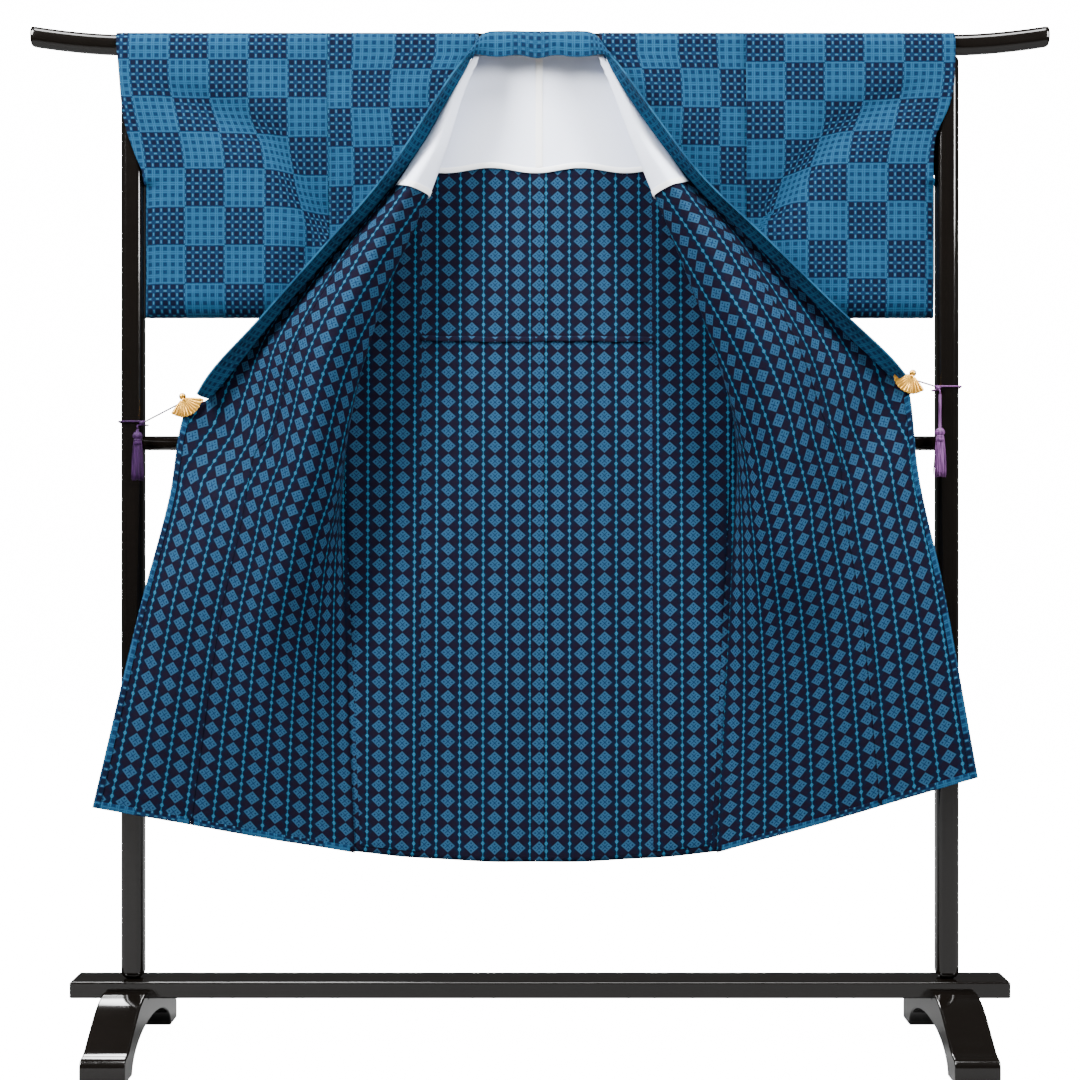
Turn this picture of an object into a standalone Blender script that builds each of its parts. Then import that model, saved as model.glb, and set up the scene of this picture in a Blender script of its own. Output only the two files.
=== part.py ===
"""A man's yukata, hung with its fronts turned open on a black lacquered kimono stand.

Every piece of the garment is a wall of cloth over a surface that is worked out from the cut of the
piece and from short tables of how it hangs. Lengths in the tables are in millimetres. "out" is the
distance from the middle of the stand towards either side, "fore" is towards the front, and "down"
is below the shoulder line.
"""
import math
from collections import namedtuple

import bmesh
import bpy
import numpy as np
from mathutils import Matrix, Vector

MM = 0.001
LEFT, RIGHT = -1, 1
NAMES = {LEFT: "left", RIGHT: "right"}
GAP = 0.4

# The stand
ROD_HALF_LENGTH = 845
ROD_HEIGHT = 34
ROD_DEPTH = 28
ROD_CENTRE_Z = 1670
ROD_STRAIGHT = 690
ROD_END_RISE = 14.5
POST_OUT = 676
POST_SIZE = 37
RAIL_Z = 1008
RAIL_RADIUS = 12
BEAM_HALF_LENGTH = 774
BEAM_DEPTH = 72
BEAM_LOW, BEAM_HIGH = 93, 120
FOOT_OUT = 680
FOOT_WIDTH = 72
FOOT_HALF_LENGTH = 205
FOOT_ARCH_HALF, FOOT_ARCH_HIGH = 150, 56
FOOT_NOTCH_Z = 105
FOOT_TIP_LOW, FOOT_TIP_IN = 5, 4
POST_ROUNDING, BEAM_ROUNDING, FOOT_ROUNDING = 7, 3, 2.5

# The top of a foot from the beam to its tip
Rim = namedtuple("Rim", "fore z")
FOOT_TOP = (Rim(52, 105), Rim(84, 97), Rim(112, 84), Rim(146, 63), Rim(177, 44), Rim(196, 39),
            Rim(203, 34), Rim(205, 26))

# The cut of the garment
CLOTH = 1.5
COLLAR_THICK = 3.0
LINING_THICK = 1.0
GARMENT_CENTRE = -7.5
LENGTH = 1395
FRONT_WIDTH = 260
NECK_WIDTH = 251
OVERLAP_TOP = 230
OVERLAP_START = OVERLAP_TOP + 14
FRONT_COLUMNS = 7
COLLAR_END = 745
SEAM_AT_COLLAR_END = 400
HEM_WIDTH = 410
ARMHOLE = 390
SLEEVE_DROP = 474
HAND_OPENING = 256

# How the cloth passes over the rod
WRAP_RADIUS = 19
WRAP_CENTRE_Z = 1670.5
SHOULDER_Z = 1690
WRAP_EXTRA = WRAP_RADIUS * math.pi / 2 - (SHOULDER_Z - WRAP_CENTRE_Z)
WRAP_END = 40
SAG_START, SAG = 745, 28

# A front in plan, from the side seam to the collar seam or, below the collar, to its free edge.
# It runs behind towards the middle, turns forward at the fold and comes back over the ridge and
# down into the hollow beside the collar. Each point is (out, fore). "rise" is how much higher the
# free side hangs than the side seam.
Section = namedtuple("Section", "down rise side under fold ridge hollow brow seam")
FRONTS = {
    LEFT: (
        Section(40, 0, 351, (250, 20), (112, 20), (109, 21), (107, 21), (105, 20), (104, 19)),
        Section(120, 3, 351, (200, 24), (135, 31), (140, 42), (144, 42), (147, 38), (149, 33)),
        Section(200, 8, 350, (225, 26), (157, 42), (165, 66), (175, 66), (183, 55), (190, 42)),
        Section(285, 21, 350, (250, 27), (185, 52), (206, 90), (222, 84), (233, 66), (241, 46)),
        Section(425, 55, 348, (290, 28), (242, 74), (272, 122), (300, 112), (322, 80), (337, 48)),
        Section(590, 96, 340, (312, 32), (295, 92), (340, 142), (385, 118), (422, 82), (446, 46)),
        Section(745, 138, 333, (322, 52), (330, 104), (375, 140), (435, 102), (490, 68), (533, 55)),
        Section(776, 138, 332, (325, 54), (336, 106), (382, 138), (444, 102), (512, 64), (581, 57)),
        Section(890, 112, 326, (340, 60), (362, 104), (404, 130), (466, 104), (535, 92), (602, 68)),
        Section(1077, 105, 318, (350, 56), (396, 86), (450, 106), (512, 104), (582, 110), (645, 98)),
        Section(1385, 86, 304, (362, 52), (425, 72), (492, 84), (566, 92), (642, 106), (716, 118)),
    ),
    RIGHT: (
        Section(40, 0, 340, (240, 20), (108, 20), (105, 21), (103, 21), (101, 20), (100, 19)),
        Section(120, 4, 341, (195, 24), (131, 31), (136, 42), (140, 42), (143, 38), (145, 33)),
        Section(200, 12, 342, (222, 26), (158, 42), (168, 66), (178, 66), (187, 55), (194, 42)),
        Section(285, 28, 343, (250, 27), (190, 52), (212, 90), (229, 84), (240, 66), (248, 46)),
        Section(425, 72, 343, (290, 28), (243, 74), (276, 122), (307, 112), (331, 80), (347, 48)),
        Section(590, 122, 333, (312, 32), (302, 92), (348, 142), (396, 118), (436, 82), (464, 46)),
        Section(745, 168, 325, (328, 52), (349, 102), (396, 138), (462, 102), (528, 68), (572, 55)),
        Section(776, 172, 323, (330, 54), (352, 104), (402, 134), (470, 102), (538, 64), (603, 57)),
        Section(890, 158, 317, (336, 60), (366, 102), (414, 130), (482, 104), (552, 88), (614, 66)),
        Section(1077, 147, 307, (345, 56), (396, 84), (456, 102), (520, 98), (590, 102), (650, 90)),
        Section(1385, 132, 290, (353, 50), (420, 70), (490, 80), (562, 86), (634, 94), (704, 103)),
    ),
}

# The collar's free edge, from just below the neck to its end
Edge = namedtuple("Edge", "down out fore")
COLLAR_EDGES = {
    LEFT: (Edge(70, 128, 72), Edge(120, 158, 86), Edge(200, 204, 94), Edge(285, 253, 99),
           Edge(425, 344, 101), Edge(590, 454, 98), Edge(745, 553, 94)),
    RIGHT: (Edge(70, 124, 72), Edge(120, 155, 86), Edge(200, 205, 94), Edge(285, 257, 99),
            Edge(425, 356, 101), Edge(590, 474, 98), Edge(745, 589, 94)),
}
COLLAR_SEAT, COLLAR_SEAT_AT_NECK = 4.4, 9
COLLAR_BULGE = 5
COLLAR_EDGE_LIFT = 4

# The turn of the collar beside the neck: points across its width as (out of the neck, fore, z)
Turn = namedtuple("Turn", "seam upper lower edge")
NECK_TURNS = (
    Turn((-24, 1.5, 1691.4), (-24, 15, 1685.8), (-24, 20.9, 1667), (-24, 20.9, 1645)),
    Turn((-6, 4, 1691.2), (-6, 17, 1686), (-6, 24, 1668), (-5, 25, 1646)),
    Turn((-1, 23, 1680), (0, 32, 1675), (4, 41, 1663), (9, 39, 1650)),
    Turn((2, 27, 1650), (4, 42, 1655), (9, 54, 1649), (14, 57, 1640)),
)
NECK_OUT = {LEFT: 104, RIGHT: 100}

# The back, from behind the rod to before the mid rail and on to the hem
Hang = namedtuple("Hang", "z fore")
BACK_HANG = (Hang(1671, -19), Hang(1500, -11.5), Hang(1300, -1), Hang(1110, 9), Hang(1020, 13.2),
             Hang(990, 13.8), Hang(700, 24), Hang(318, 36))
BACK_HEM_Z, BACK_HEM_SIDE_RISE = 318, 17
BACK_WAVE, BACK_WAVE_LENGTH, BACK_WAVE_TOP = 6, 148, 980
SIDE_SEAM_SPACE = 2.2

# The edge of each sleeve at the hand, before and behind the post
Cuff = namedtuple("Cuff", "down front back")
CUFFS = {
    LEFT: (Cuff(0, 702, 702), Cuff(60, 697, 699), Cuff(119, 692, 695), Cuff(152, 687, 691),
           Cuff(199, 672, 680), Cuff(226, 661, 664), Cuff(238, 655, 656), Cuff(256, 651, 651),
           Cuff(400, 652, 652), Cuff(474, 654, 654)),
    RIGHT: (Cuff(0, 687, 690), Cuff(83, 685, 689), Cuff(123, 677, 686), Cuff(159, 661, 681),
            Cuff(184, 652, 676), Cuff(226, 650, 664), Cuff(238, 650, 656), Cuff(256, 651, 651),
            Cuff(400, 650, 650), Cuff(474, 649, 649)),
}
SLEEVE_FORE = 20.5
SLEEVE_ROUNDING = 42
SLEEVE_SHARES = (0, 0.06, 0.16, 0.3, 0.45, 0.6, 0.74, 0.86, 0.95, 1)
SLEEVE_DOWNS = (60, 110, 160, 200, 226, 238, HAND_OPENING, 300, 340, ARMHOLE, 430, 458, 470,
                SLEEVE_DROP)
# A soft trough across each sleeve, from under the hand opening's top to the end of the armhole
Trough = namedtuple("Trough", "out down")
SLEEVE_TROUGHS = {
    LEFT: (Trough(622, 92), Trough(446, 183), Trough(403, 275), Trough(354, 342)),
    RIGHT: (Trough(616, 98), Trough(489, 170), Trough(441, 227), Trough(389, 300)),
}
TROUGH_DEPTH, TROUGH_WIDTH = 9, 34

# The shoulder lining
LINING_TOP, LINING_END = 52, 293
LINING_SPACE, LINING_SPACE_AT_NECK = 2.1, 1.2
MITRE_LIMIT = 0.35
LINING_EDGE_Z, LINING_SCALLOP, LINING_SCALLOP_LENGTH = 1463, 4.5, 150

# The clips, strings and tassels
CLIP_DOWN, CLIP_GRIP = 782, 24
FAN_RADIUS, FAN_NECK = 32, 5
FAN_SPREAD, FAN_TILT = math.radians(62), math.radians(26)
FAN_RIBS, FAN_RIB_HEIGHT, FAN_THICK = 11, 0.9, 2.2
FAN_HIGH_Z = {LEFT: 1079, RIGHT: 1117}
FAN_OUT = {LEFT: 582, RIGHT: 607}
JAW_HALF_SPACE = 4.6
PIN_RADIUS = 3.2
STRING_RADIUS = 2.0
STRING_Z = {LEFT: 1043, RIGHT: 1101}
TASSEL_OUT = {LEFT: 662, RIGHT: 658}
TASSEL_CORD = {LEFT: 4, RIGHT: 56}
TASSEL_HEAD_RADIUS, TASSEL_HEAD_HIGH = 7.5, 15
TASSEL_LENGTH = 78
TASSEL_FORE = 14.5
TASSEL_RINGS, TASSEL_SECTORS = 3, 12
TASSEL_SPREAD = 1.75

COLOURS = {
    "lacquer": ((0.008, 0.007, 0.006), 0.12, 0.0),
    "cloth": ((0.06, 0.17, 0.36), 0.85, 0.0),
    "lining": ((0.80, 0.81, 0.85), 0.90, 0.0),
    "gold": ((0.80, 0.55, 0.20), 0.28, 1.0),
    "tassel": ((0.20, 0.08, 0.25), 0.60, 0.0),
}


def clear_scene():
    for item in list(bpy.data.objects):
        bpy.data.objects.remove(item, do_unlink=True)


def make_materials():
    made = {}
    for name, (colour, roughness, metallic) in COLOURS.items():
        material = bpy.data.materials.new(name)
        material.use_nodes = True
        shader = material.node_tree.nodes["Principled BSDF"]
        shader.inputs["Base Color"].default_value = (*colour, 1)
        shader.inputs["Roughness"].default_value = roughness
        shader.inputs["Metallic"].default_value = metallic
        made[name] = material
    return made


clear_scene()
MATERIALS = make_materials()
COLLECTION = bpy.data.collections.new("yukata_on_stand")
bpy.context.scene.collection.children.link(COLLECTION)


def add_object(name, data, material):
    item = bpy.data.objects.new(name, data)
    data.materials.append(MATERIALS[material])
    COLLECTION.objects.link(item)
    return item


# Curves through the tables


def eased(low, high, value):
    """0 up to low, 1 from high on, and a smooth step between them."""
    t = min(max((value - low) / (high - low), 0), 1)
    return t * t * (3 - 2 * t)


def through(places, values, place):
    """A smooth curve through values at rising places, which never overshoots them."""
    places = np.asarray(places, float)
    values = np.asarray(values, float).reshape(len(places), -1)
    steps = np.diff(places)
    slopes = np.diff(values, axis=0) / steps[:, None]
    before, after = slopes[:-1], slopes[1:]
    same_way = before * after > 0
    inner = np.where(same_way, 2 * before * after / np.where(same_way, before + after, 1), 0)
    tangents = np.vstack([slopes[:1], inner, slopes[-1:]])
    place = min(max(place, places[0]), places[-1])
    i = min(int(np.searchsorted(places, place, side="right")) - 1, len(steps) - 1)
    t = (place - places[i]) / steps[i]
    return (
        (1 + 2 * t) * (1 - t) ** 2 * values[i]
        + t * (1 - t) ** 2 * steps[i] * tangents[i]
        + t * t * (3 - 2 * t) * values[i + 1]
        + t * t * (t - 1) * steps[i] * tangents[i + 1]
    )


def rounded_path(corners, count):
    """A Catmull-Rom curve through the corners, as count points at even distances."""
    corners = np.asarray(corners, float)
    ends = np.vstack([2 * corners[0] - corners[1], corners, 2 * corners[-1] - corners[-2]])
    fine = []
    for a, b, c, d in zip(ends[:-3], ends[1:-2], ends[2:-1], ends[3:]):
        for t in np.linspace(0, 1, 12, endpoint=False):
            fine.append(
                0.5 * (2 * b + (c - a) * t + (2 * a - 5 * b + 4 * c - d) * t**2
                       + (3 * b - a - 3 * c + d) * t**3)
            )
    fine = np.array(fine + [corners[-1]])
    run = np.concatenate([[0], np.cumsum(np.linalg.norm(np.diff(fine, axis=0), axis=1))])
    even = np.linspace(0, run[-1], count)
    return np.stack([np.interp(even, run, column) for column in fine.T], 1), run[-1]


# The form of the cloth


def over_rod(along):
    """(fore, z) of the cloth at this distance from the shoulder line, before the rod."""
    quarter = WRAP_RADIUS * math.pi / 2
    if along < quarter:
        angle = along / WRAP_RADIUS
        return WRAP_RADIUS * math.sin(angle), WRAP_CENTRE_Z + WRAP_RADIUS * math.cos(angle)
    return WRAP_RADIUS, WRAP_CENTRE_Z - (along - quarter)


def seam_across(down):
    """The cut width of a front and its overlap, from the side seam to the collar seam or edge."""
    places = (0, OVERLAP_TOP, COLLAR_END, LENGTH)
    widths = (NECK_WIDTH, FRONT_WIDTH, SEAM_AT_COLLAR_END, HEM_WIDTH)
    return float(np.interp(down, places, widths))


def side_out(side, down):
    rows = FRONTS[side]
    return float(through([r.down for r in rows], [r.side for r in rows], down)[0])


def back_fore(z):
    rows = BACK_HANG[::-1]
    return float(through([r.z for r in rows], [r.fore for r in rows], z)[0])


def side_fore(down):
    """How far fore a front's side edge lies: at the rod's front, then on the back's side edge."""
    joined = back_fore(SHOULDER_Z - down) + SIDE_SEAM_SPACE
    return WRAP_RADIUS + (joined - WRAP_RADIUS) * eased(120, ARMHOLE, down)


def front_section(side, down):
    """One front in plan at this depth: points at even distances along the cloth, and its fold."""
    rows = FRONTS[side]
    corners = [[row.under, row.fold, row.ridge, row.hollow, row.brow, row.seam] for row in rows]
    flat = through([r.down for r in rows], np.array(corners).reshape(len(rows), -1), down)
    start = (side_out(side, down), side_fore(max(down, WRAP_END)))
    points, _ = rounded_path(np.vstack([start, flat.reshape(-1, 2)]), 61)
    _, to_fold = rounded_path(np.vstack([start, flat.reshape(-1, 2)[:2]]), 9)
    _, whole = rounded_path(np.vstack([start, flat.reshape(-1, 2)]), 9)
    return points, to_fold / whole


def front_point(side, along, across):
    """A point of a front at (along, across) in its cut, in the stand's frame."""
    down = along - WRAP_EXTRA
    share = across / seam_across(down)
    points, fold_share = front_section(side, max(down, WRAP_END))
    place = share * (len(points) - 1)
    out, fore = (float(np.interp(place, range(len(points)), column)) for column in points.T)
    if down < WRAP_END:
        rod_fore, z = over_rod(along)
        fore = rod_fore + (fore - WRAP_RADIUS) * (along / (WRAP_END + WRAP_EXTRA)) ** 2
        return Vector((side * out, -fore, z))
    rows = FRONTS[side]
    rise = float(through([r.down for r in rows], [r.rise for r in rows], down)[0])
    below = max(down - SAG_START, 0) / (rows[-1].down - SAG_START)
    sag = SAG * below
    fold_share *= 1 - eased(0, 1, below)
    lifted = rise * min(max((share - fold_share) / (1 - fold_share), 0), 1)
    return Vector((side * out, -fore, SHOULDER_Z - down + sag + lifted))


def back_point(side, along, share):
    """A point of a back panel, share 0 at the centre seam and 1 at the side."""
    down = along - WRAP_EXTRA
    middle = side * GARMENT_CENTRE + GAP / 2
    out = middle + share * (side_out(side, down) - middle)
    fore, z = over_rod(along)
    if along < WRAP_RADIUS * math.pi / 2:
        return Vector((side * out, fore, z))
    hem = BACK_HEM_Z + BACK_HEM_SIDE_RISE * share**2
    z = WRAP_CENTRE_Z + (z - WRAP_CENTRE_Z) * (WRAP_CENTRE_Z - hem) / (
        LENGTH - WRAP_RADIUS * math.pi / 2)
    wave = BACK_WAVE * (1 - eased(BACK_HEM_Z, BACK_WAVE_TOP, z))
    wave *= 0.5 - 0.5 * math.cos(2 * math.pi * (out - middle) / BACK_WAVE_LENGTH)
    wave *= 1 - eased(0.75, 1, share)
    return Vector((side * out, -back_fore(z) - wave, z))


def to_trough(side, out, down):
    """The distance from a point of a sleeve to the line of its soft trough."""
    line = SLEEVE_TROUGHS[side]
    nearest = math.inf
    for a, b in zip(line, line[1:]):
        run = np.array([b.out - a.out, b.down - a.down])
        at = np.array([out - a.out, down - a.down])
        t = min(max(float(at @ run) / float(run @ run), 0), 1)
        nearest = min(nearest, float(np.linalg.norm(at - t * run)))
    return nearest


def sleeve_point(side, along, share, front):
    """A point of a sleeve's front or back layer, share 0 at the armhole and 1 at the hand."""
    down = along - WRAP_EXTRA
    rows = CUFFS[side]
    open_front = front and down < HAND_OPENING - 1
    cuff = float(through([r.down for r in rows],
                         [r.front if open_front else r.back for r in rows], down)[0])
    closed_below = down >= ARMHOLE - 1
    start = side_out(side, down) + GAP + (4 if closed_below else 0)
    out = start + share * (cuff - start)
    rod_fore, z = over_rod(along)
    if along < WRAP_RADIUS * math.pi / 2:
        return Vector((side * out, -rod_fore if front else rod_fore, z))
    near = side_fore(down)
    far = back_fore(z)
    blend = eased(0, 0.35, share)
    middle = (1 - blend) * (near + far) / 2
    half = (1 - blend) * (near - far) / 2 + blend * SLEEVE_FORE
    if closed_below:
        half = SLEEVE_FORE * eased(0, 0.35, share) + 6 * eased(0, 0.05, share) * (1 - blend)
    to_closed = SLEEVE_DROP - down
    if down > HAND_OPENING - 1:
        to_closed = min(to_closed, cuff - out)
    rounding = 1 - min(max(to_closed, 0) / SLEEVE_ROUNDING, 1)
    half *= math.sqrt(max(1 - rounding**2, 0))
    fore = middle + (half if front else -half)
    if front:
        distance = to_trough(side, out, down)
        depth = TROUGH_DEPTH * eased(60, 120, down) * (1 - eased(590, 650, out))
        fore -= depth * math.exp(-((distance / TROUGH_WIDTH) ** 2))
    return Vector((side * out, -fore, z))


# Solids


def mesh_from_grid(name, rows, weld=False):
    shape = bmesh.new()
    points = [[shape.verts.new(Vector(p) * MM) for p in row] for row in rows]
    for upper, lower in zip(points, points[1:]):
        for i in range(len(upper) - 1):
            shape.faces.new((upper[i], upper[i + 1], lower[i + 1], lower[i]))
    if weld:
        bmesh.ops.remove_doubles(shape, verts=shape.verts, dist=0.02 * MM)
    mesh = bpy.data.meshes.new(name)
    shape.to_mesh(mesh)
    shape.free()
    return mesh


def add_wall(name, rows, thickness, material, weld=False):
    """A wall of cloth, half its thickness to each side of a grid of points."""
    item = add_object(name, mesh_from_grid(name, rows, weld), material)
    wall = item.modifiers.new("wall", "SOLIDIFY")
    wall.thickness = thickness * MM
    wall.offset = 0
    return item


def add_box(name, low, high, material, bevel):
    size = [b - a for a, b in zip(low, high)]
    middle = [(a + b) / 2 for a, b in zip(low, high)]
    shape = bmesh.new()
    bmesh.ops.create_cube(shape, size=1)
    bmesh.ops.scale(shape, vec=Vector(size) * MM, verts=shape.verts)
    mesh = bpy.data.meshes.new(name)
    shape.to_mesh(mesh)
    shape.free()
    item = add_object(name, mesh, material)
    item.location = Vector(middle) * MM
    edges = item.modifiers.new("rounded edges", "BEVEL")
    edges.width = bevel * MM
    edges.segments = 2
    return item


def alongs(first, last, step):
    """Distances down a panel: closely spaced over the rod, and then about a step apart."""
    over = [a for a in (0, 10, 20, 30, 40, WRAP_END + WRAP_EXTRA) if first <= a < last]
    start = over[-1] if over else first
    count = max(round((last - start) / step), 1)
    run = [start + (last - start) * i / count for i in range(count + 1)]
    return over[:-1] + run if over else run


def build_backs():
    for side in (LEFT, RIGHT):
        rows = [[back_point(side, along, share) for share in np.linspace(0, 1, 7)]
                for along in alongs(0, LENGTH, 58)]
        rows[0] = [p + Vector((0, GAP / 2, 0)) for p in rows[0]]
        add_wall(f"back_{NAMES[side]}", rows, CLOTH, "cloth")


def front_alongs():
    """The rows of a front, one of them at the lining's lower edge."""
    return alongs(0, LINING_END, 40) + alongs(LINING_END, LENGTH, 55)[1:]


def front_row(side, along):
    """Points across a front, as many before its fold as behind it."""
    down = along - WRAP_EXTRA
    width = min(FRONT_WIDTH, seam_across(down))
    fold = front_section(side, max(down, WRAP_END))[1] * seam_across(down)
    before = np.linspace(0, fold, FRONT_COLUMNS + 1)
    after = np.linspace(fold, width, FRONT_COLUMNS + 1)[1:]
    return [front_point(side, along, across) for across in (*before, *after)]


def build_fronts():
    for side in (LEFT, RIGHT):
        name = NAMES[side]
        rows = [front_row(side, along) for along in front_alongs()]
        rows[0] = [p - Vector((0, GAP / 2, 0)) for p in rows[0]]
        add_wall(f"front_{name}", rows, CLOTH, "cloth")

        rows = []
        first = OVERLAP_START + WRAP_EXTRA
        for along in [first] + [along for along in front_alongs() if along > first]:
            width = seam_across(along - WRAP_EXTRA)
            rows.append([front_point(side, along, across)
                         for across in np.linspace(FRONT_WIDTH + GAP + 0.2, width, 6)])
        add_wall(f"overlap_{name}", rows, CLOTH, "cloth")


def build_sleeves():
    layer = [0, 10, 20, 30, 42] + [down + WRAP_EXTRA for down in SLEEVE_DOWNS]
    for side in (LEFT, RIGHT):
        rows = [[sleeve_point(side, along, share, False) for share in SLEEVE_SHARES]
                for along in layer[:0:-1]]
        rows += [[sleeve_point(side, along, share, True) for share in SLEEVE_SHARES]
                 for along in layer]
        add_wall(f"sleeve_{NAMES[side]}", rows, CLOTH, "cloth", weld=True)


def collar_station(side, down):
    """The collar across its width at one depth of a front, from its seam to its free edge."""
    along = down + WRAP_EXTRA
    seam = front_point(side, along, seam_across(down))
    rows = COLLAR_EDGES[side]
    out, fore = through([r.down for r in rows], [(r.out, r.fore) for r in rows], down)
    edge = Vector((side * out, -fore, seam.z + COLLAR_EDGE_LIFT))
    seat = COLLAR_SEAT_AT_NECK + (COLLAR_SEAT - COLLAR_SEAT_AT_NECK) * eased(80, 240, down)
    start = seam + (edge - seam).normalized() * seat
    bulge = Vector((side * COLLAR_BULGE, 0, 0))
    return start, start.lerp(edge, 1 / 3) + bulge, start.lerp(edge, 2 / 3) + bulge, edge


def build_collar():
    runs = {}
    for side in (LEFT, RIGHT):
        turns = []
        for turn in NECK_TURNS:
            turns.append([Vector((side * (NECK_OUT[side] + p[0]), -p[1], p[2])) for p in turn])
        fronts = [collar_station(side, down) for down in np.linspace(75, COLLAR_END - 8, 18)]
        runs[side] = turns + fronts
    left, right = runs[LEFT], runs[RIGHT]
    neck = [[a.lerp(b, t) for a, b in zip(left[0], right[0])] for t in (0.25, 0.5, 0.75)]
    stations = left[::-1] + neck + right
    add_wall("collar", stations, COLLAR_THICK, "cloth")


def moved_out(rows, distances):
    """The points of a grid, each moved so that the faces beside it move out by its row's distance."""
    faces = [[(upper[j + 1] - lower[j]).cross(lower[j + 1] - upper[j]).normalized()
              for j in range(len(upper) - 1)] for upper, lower in zip(rows, rows[1:])]
    moved = []
    for i, row in enumerate(rows):
        beside = faces[max(i - 1, 0):i + 1]
        moved.append([])
        for j, point in enumerate(row):
            normals = [n for strip in beside for n in strip[max(j - 1, 0):j + 1]]
            way = sum(normals, Vector()).normalized()
            least = max(min(way.dot(n) for n in normals), MITRE_LIMIT)
            moved[-1].append(point + way * (distances[i] / least))
    return moved


def lining_edge(x):
    return LINING_EDGE_Z - LINING_SCALLOP * math.cos(
        2 * math.pi * (x - GARMENT_CENTRE) / LINING_SCALLOP_LENGTH)


def build_linings():
    top = over_rod(LINING_TOP)[1]
    rows = []
    for share in np.linspace(0, 1, 6):
        row = []
        for x in np.linspace(-side_out(LEFT, 100) + 12, side_out(RIGHT, 100) - 12, 19):
            z = top + share * (lining_edge(x) - top)
            row.append((x, -back_fore(z) - LINING_SPACE, z))
        rows.append(row)
    add_wall("lining_back", rows, LINING_THICK, "lining")

    for side in (LEFT, RIGHT):
        lined = [along for along in front_alongs() if WRAP_END < along <= LINING_END]
        spaces = [-side * (LINING_SPACE + LINING_SPACE_AT_NECK * (1 - eased(50, 130, along)))
                  for along in lined]
        rows = moved_out([front_row(side, along) for along in lined], spaces)
        rows = [row[1:-1] for row in rows]
        add_wall(f"lining_{NAMES[side]}", rows, LINING_THICK, "lining")


def build_rod():
    """The rod is a rounded bar whose ends sweep up."""
    stations = [-ROD_HALF_LENGTH + 3 * i for i in (0, 1)] + list(range(-820, -680, 20)) + [-680]
    stations = stations + [0] + [-x for x in stations[::-1]]
    sides = 16
    shape = bmesh.new()
    rings = []
    for x in stations:
        beyond = max(abs(x) - ROD_STRAIGHT, 0) / (ROD_HALF_LENGTH - ROD_STRAIGHT)
        z = ROD_CENTRE_Z + ROD_END_RISE * beyond**1.7
        fit = 0.9 if abs(x) == ROD_HALF_LENGTH else 1
        ring = []
        for i in range(sides):
            angle = 2 * math.pi * (i + 0.5) / sides
            c, s = math.cos(angle), math.sin(angle)
            across = math.copysign(abs(c) ** 0.85, c) * ROD_DEPTH / 2 * fit
            high = math.copysign(abs(s) ** 0.85, s) * ROD_HEIGHT / 2 * fit
            ring.append(shape.verts.new(Vector((x, across, z + high)) * MM))
        rings.append(ring)
    for a, b in zip(rings, rings[1:]):
        for i in range(sides):
            j = (i + 1) % sides
            shape.faces.new((a[i], a[j], b[j], b[i]))
    shape.faces.new(rings[0][::-1])
    shape.faces.new(rings[-1])
    bmesh.ops.recalc_face_normals(shape, faces=shape.faces)
    mesh = bpy.data.meshes.new("top_rod")
    shape.to_mesh(mesh)
    shape.free()
    add_object("top_rod", mesh, "lacquer")


def build_feet():
    """Each foot is a flat bridge-shaped outline, notched at its top for the base beam."""
    half = BEAM_DEPTH / 2 + GAP
    top = [(half, BEAM_LOW - GAP), (half, FOOT_NOTCH_Z), *FOOT_TOP,
           (FOOT_HALF_LENGTH, FOOT_TIP_LOW), (FOOT_HALF_LENGTH - FOOT_TIP_IN, 0)]
    arch = [(FOOT_ARCH_HALF * math.cos(a), FOOT_ARCH_HIGH * math.sin(a))
            for a in np.linspace(0, math.pi / 2, 9)]
    right = top + arch
    outline = right + [(-y, z) for y, z in right[-2::-1]]
    for side in (LEFT, RIGHT):
        curve = bpy.data.curves.new(f"foot_{NAMES[side]}", "CURVE")
        curve.dimensions = "2D"
        curve.fill_mode = "BOTH"
        curve.extrude = FOOT_WIDTH / 2 * MM
        spline = curve.splines.new("POLY")
        spline.points.add(len(outline) - 1)
        for point, (y, z) in zip(spline.points, outline):
            point.co = (y * MM, z * MM, 0, 1)
        spline.use_cyclic_u = True
        flat = bpy.data.objects.new("outline", curve)
        COLLECTION.objects.link(flat)
        bpy.context.view_layer.update()
        mesh = bpy.data.meshes.new_from_object(flat.evaluated_get(bpy.context.evaluated_depsgraph_get()))
        bpy.data.objects.remove(flat, do_unlink=True)
        shape = bmesh.new()
        shape.from_mesh(mesh)
        bmesh.ops.remove_doubles(shape, verts=shape.verts, dist=0.01 * MM)
        shape.to_mesh(mesh)
        shape.free()
        mesh.materials.clear()
        item = add_object(f"foot_{NAMES[side]}", mesh, "lacquer")
        item.matrix_world = Matrix(((0, 0, 1, side * FOOT_OUT * MM), (1, 0, 0, 0),
                                    (0, 1, 0, 0), (0, 0, 0, 1)))
        edges = item.modifiers.new("rounded edges", "BEVEL")
        edges.width = FOOT_ROUNDING * MM
        edges.segments = 1
        edges.limit_method = "ANGLE"
        edges.angle_limit = math.radians(60)


def add_tube(name, points, radius, material):
    curve = bpy.data.curves.new(name, "CURVE")
    curve.dimensions = "3D"
    curve.bevel_depth = radius * MM
    curve.bevel_resolution = 2
    curve.render_resolution_u = 0
    curve.use_fill_caps = True
    spline = curve.splines.new("POLY")
    spline.points.add(len(points) - 1)
    for point, place in zip(spline.points, points):
        point.co = (*(Vector(place) * MM), 1)
    return add_object(name, curve, material)


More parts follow.
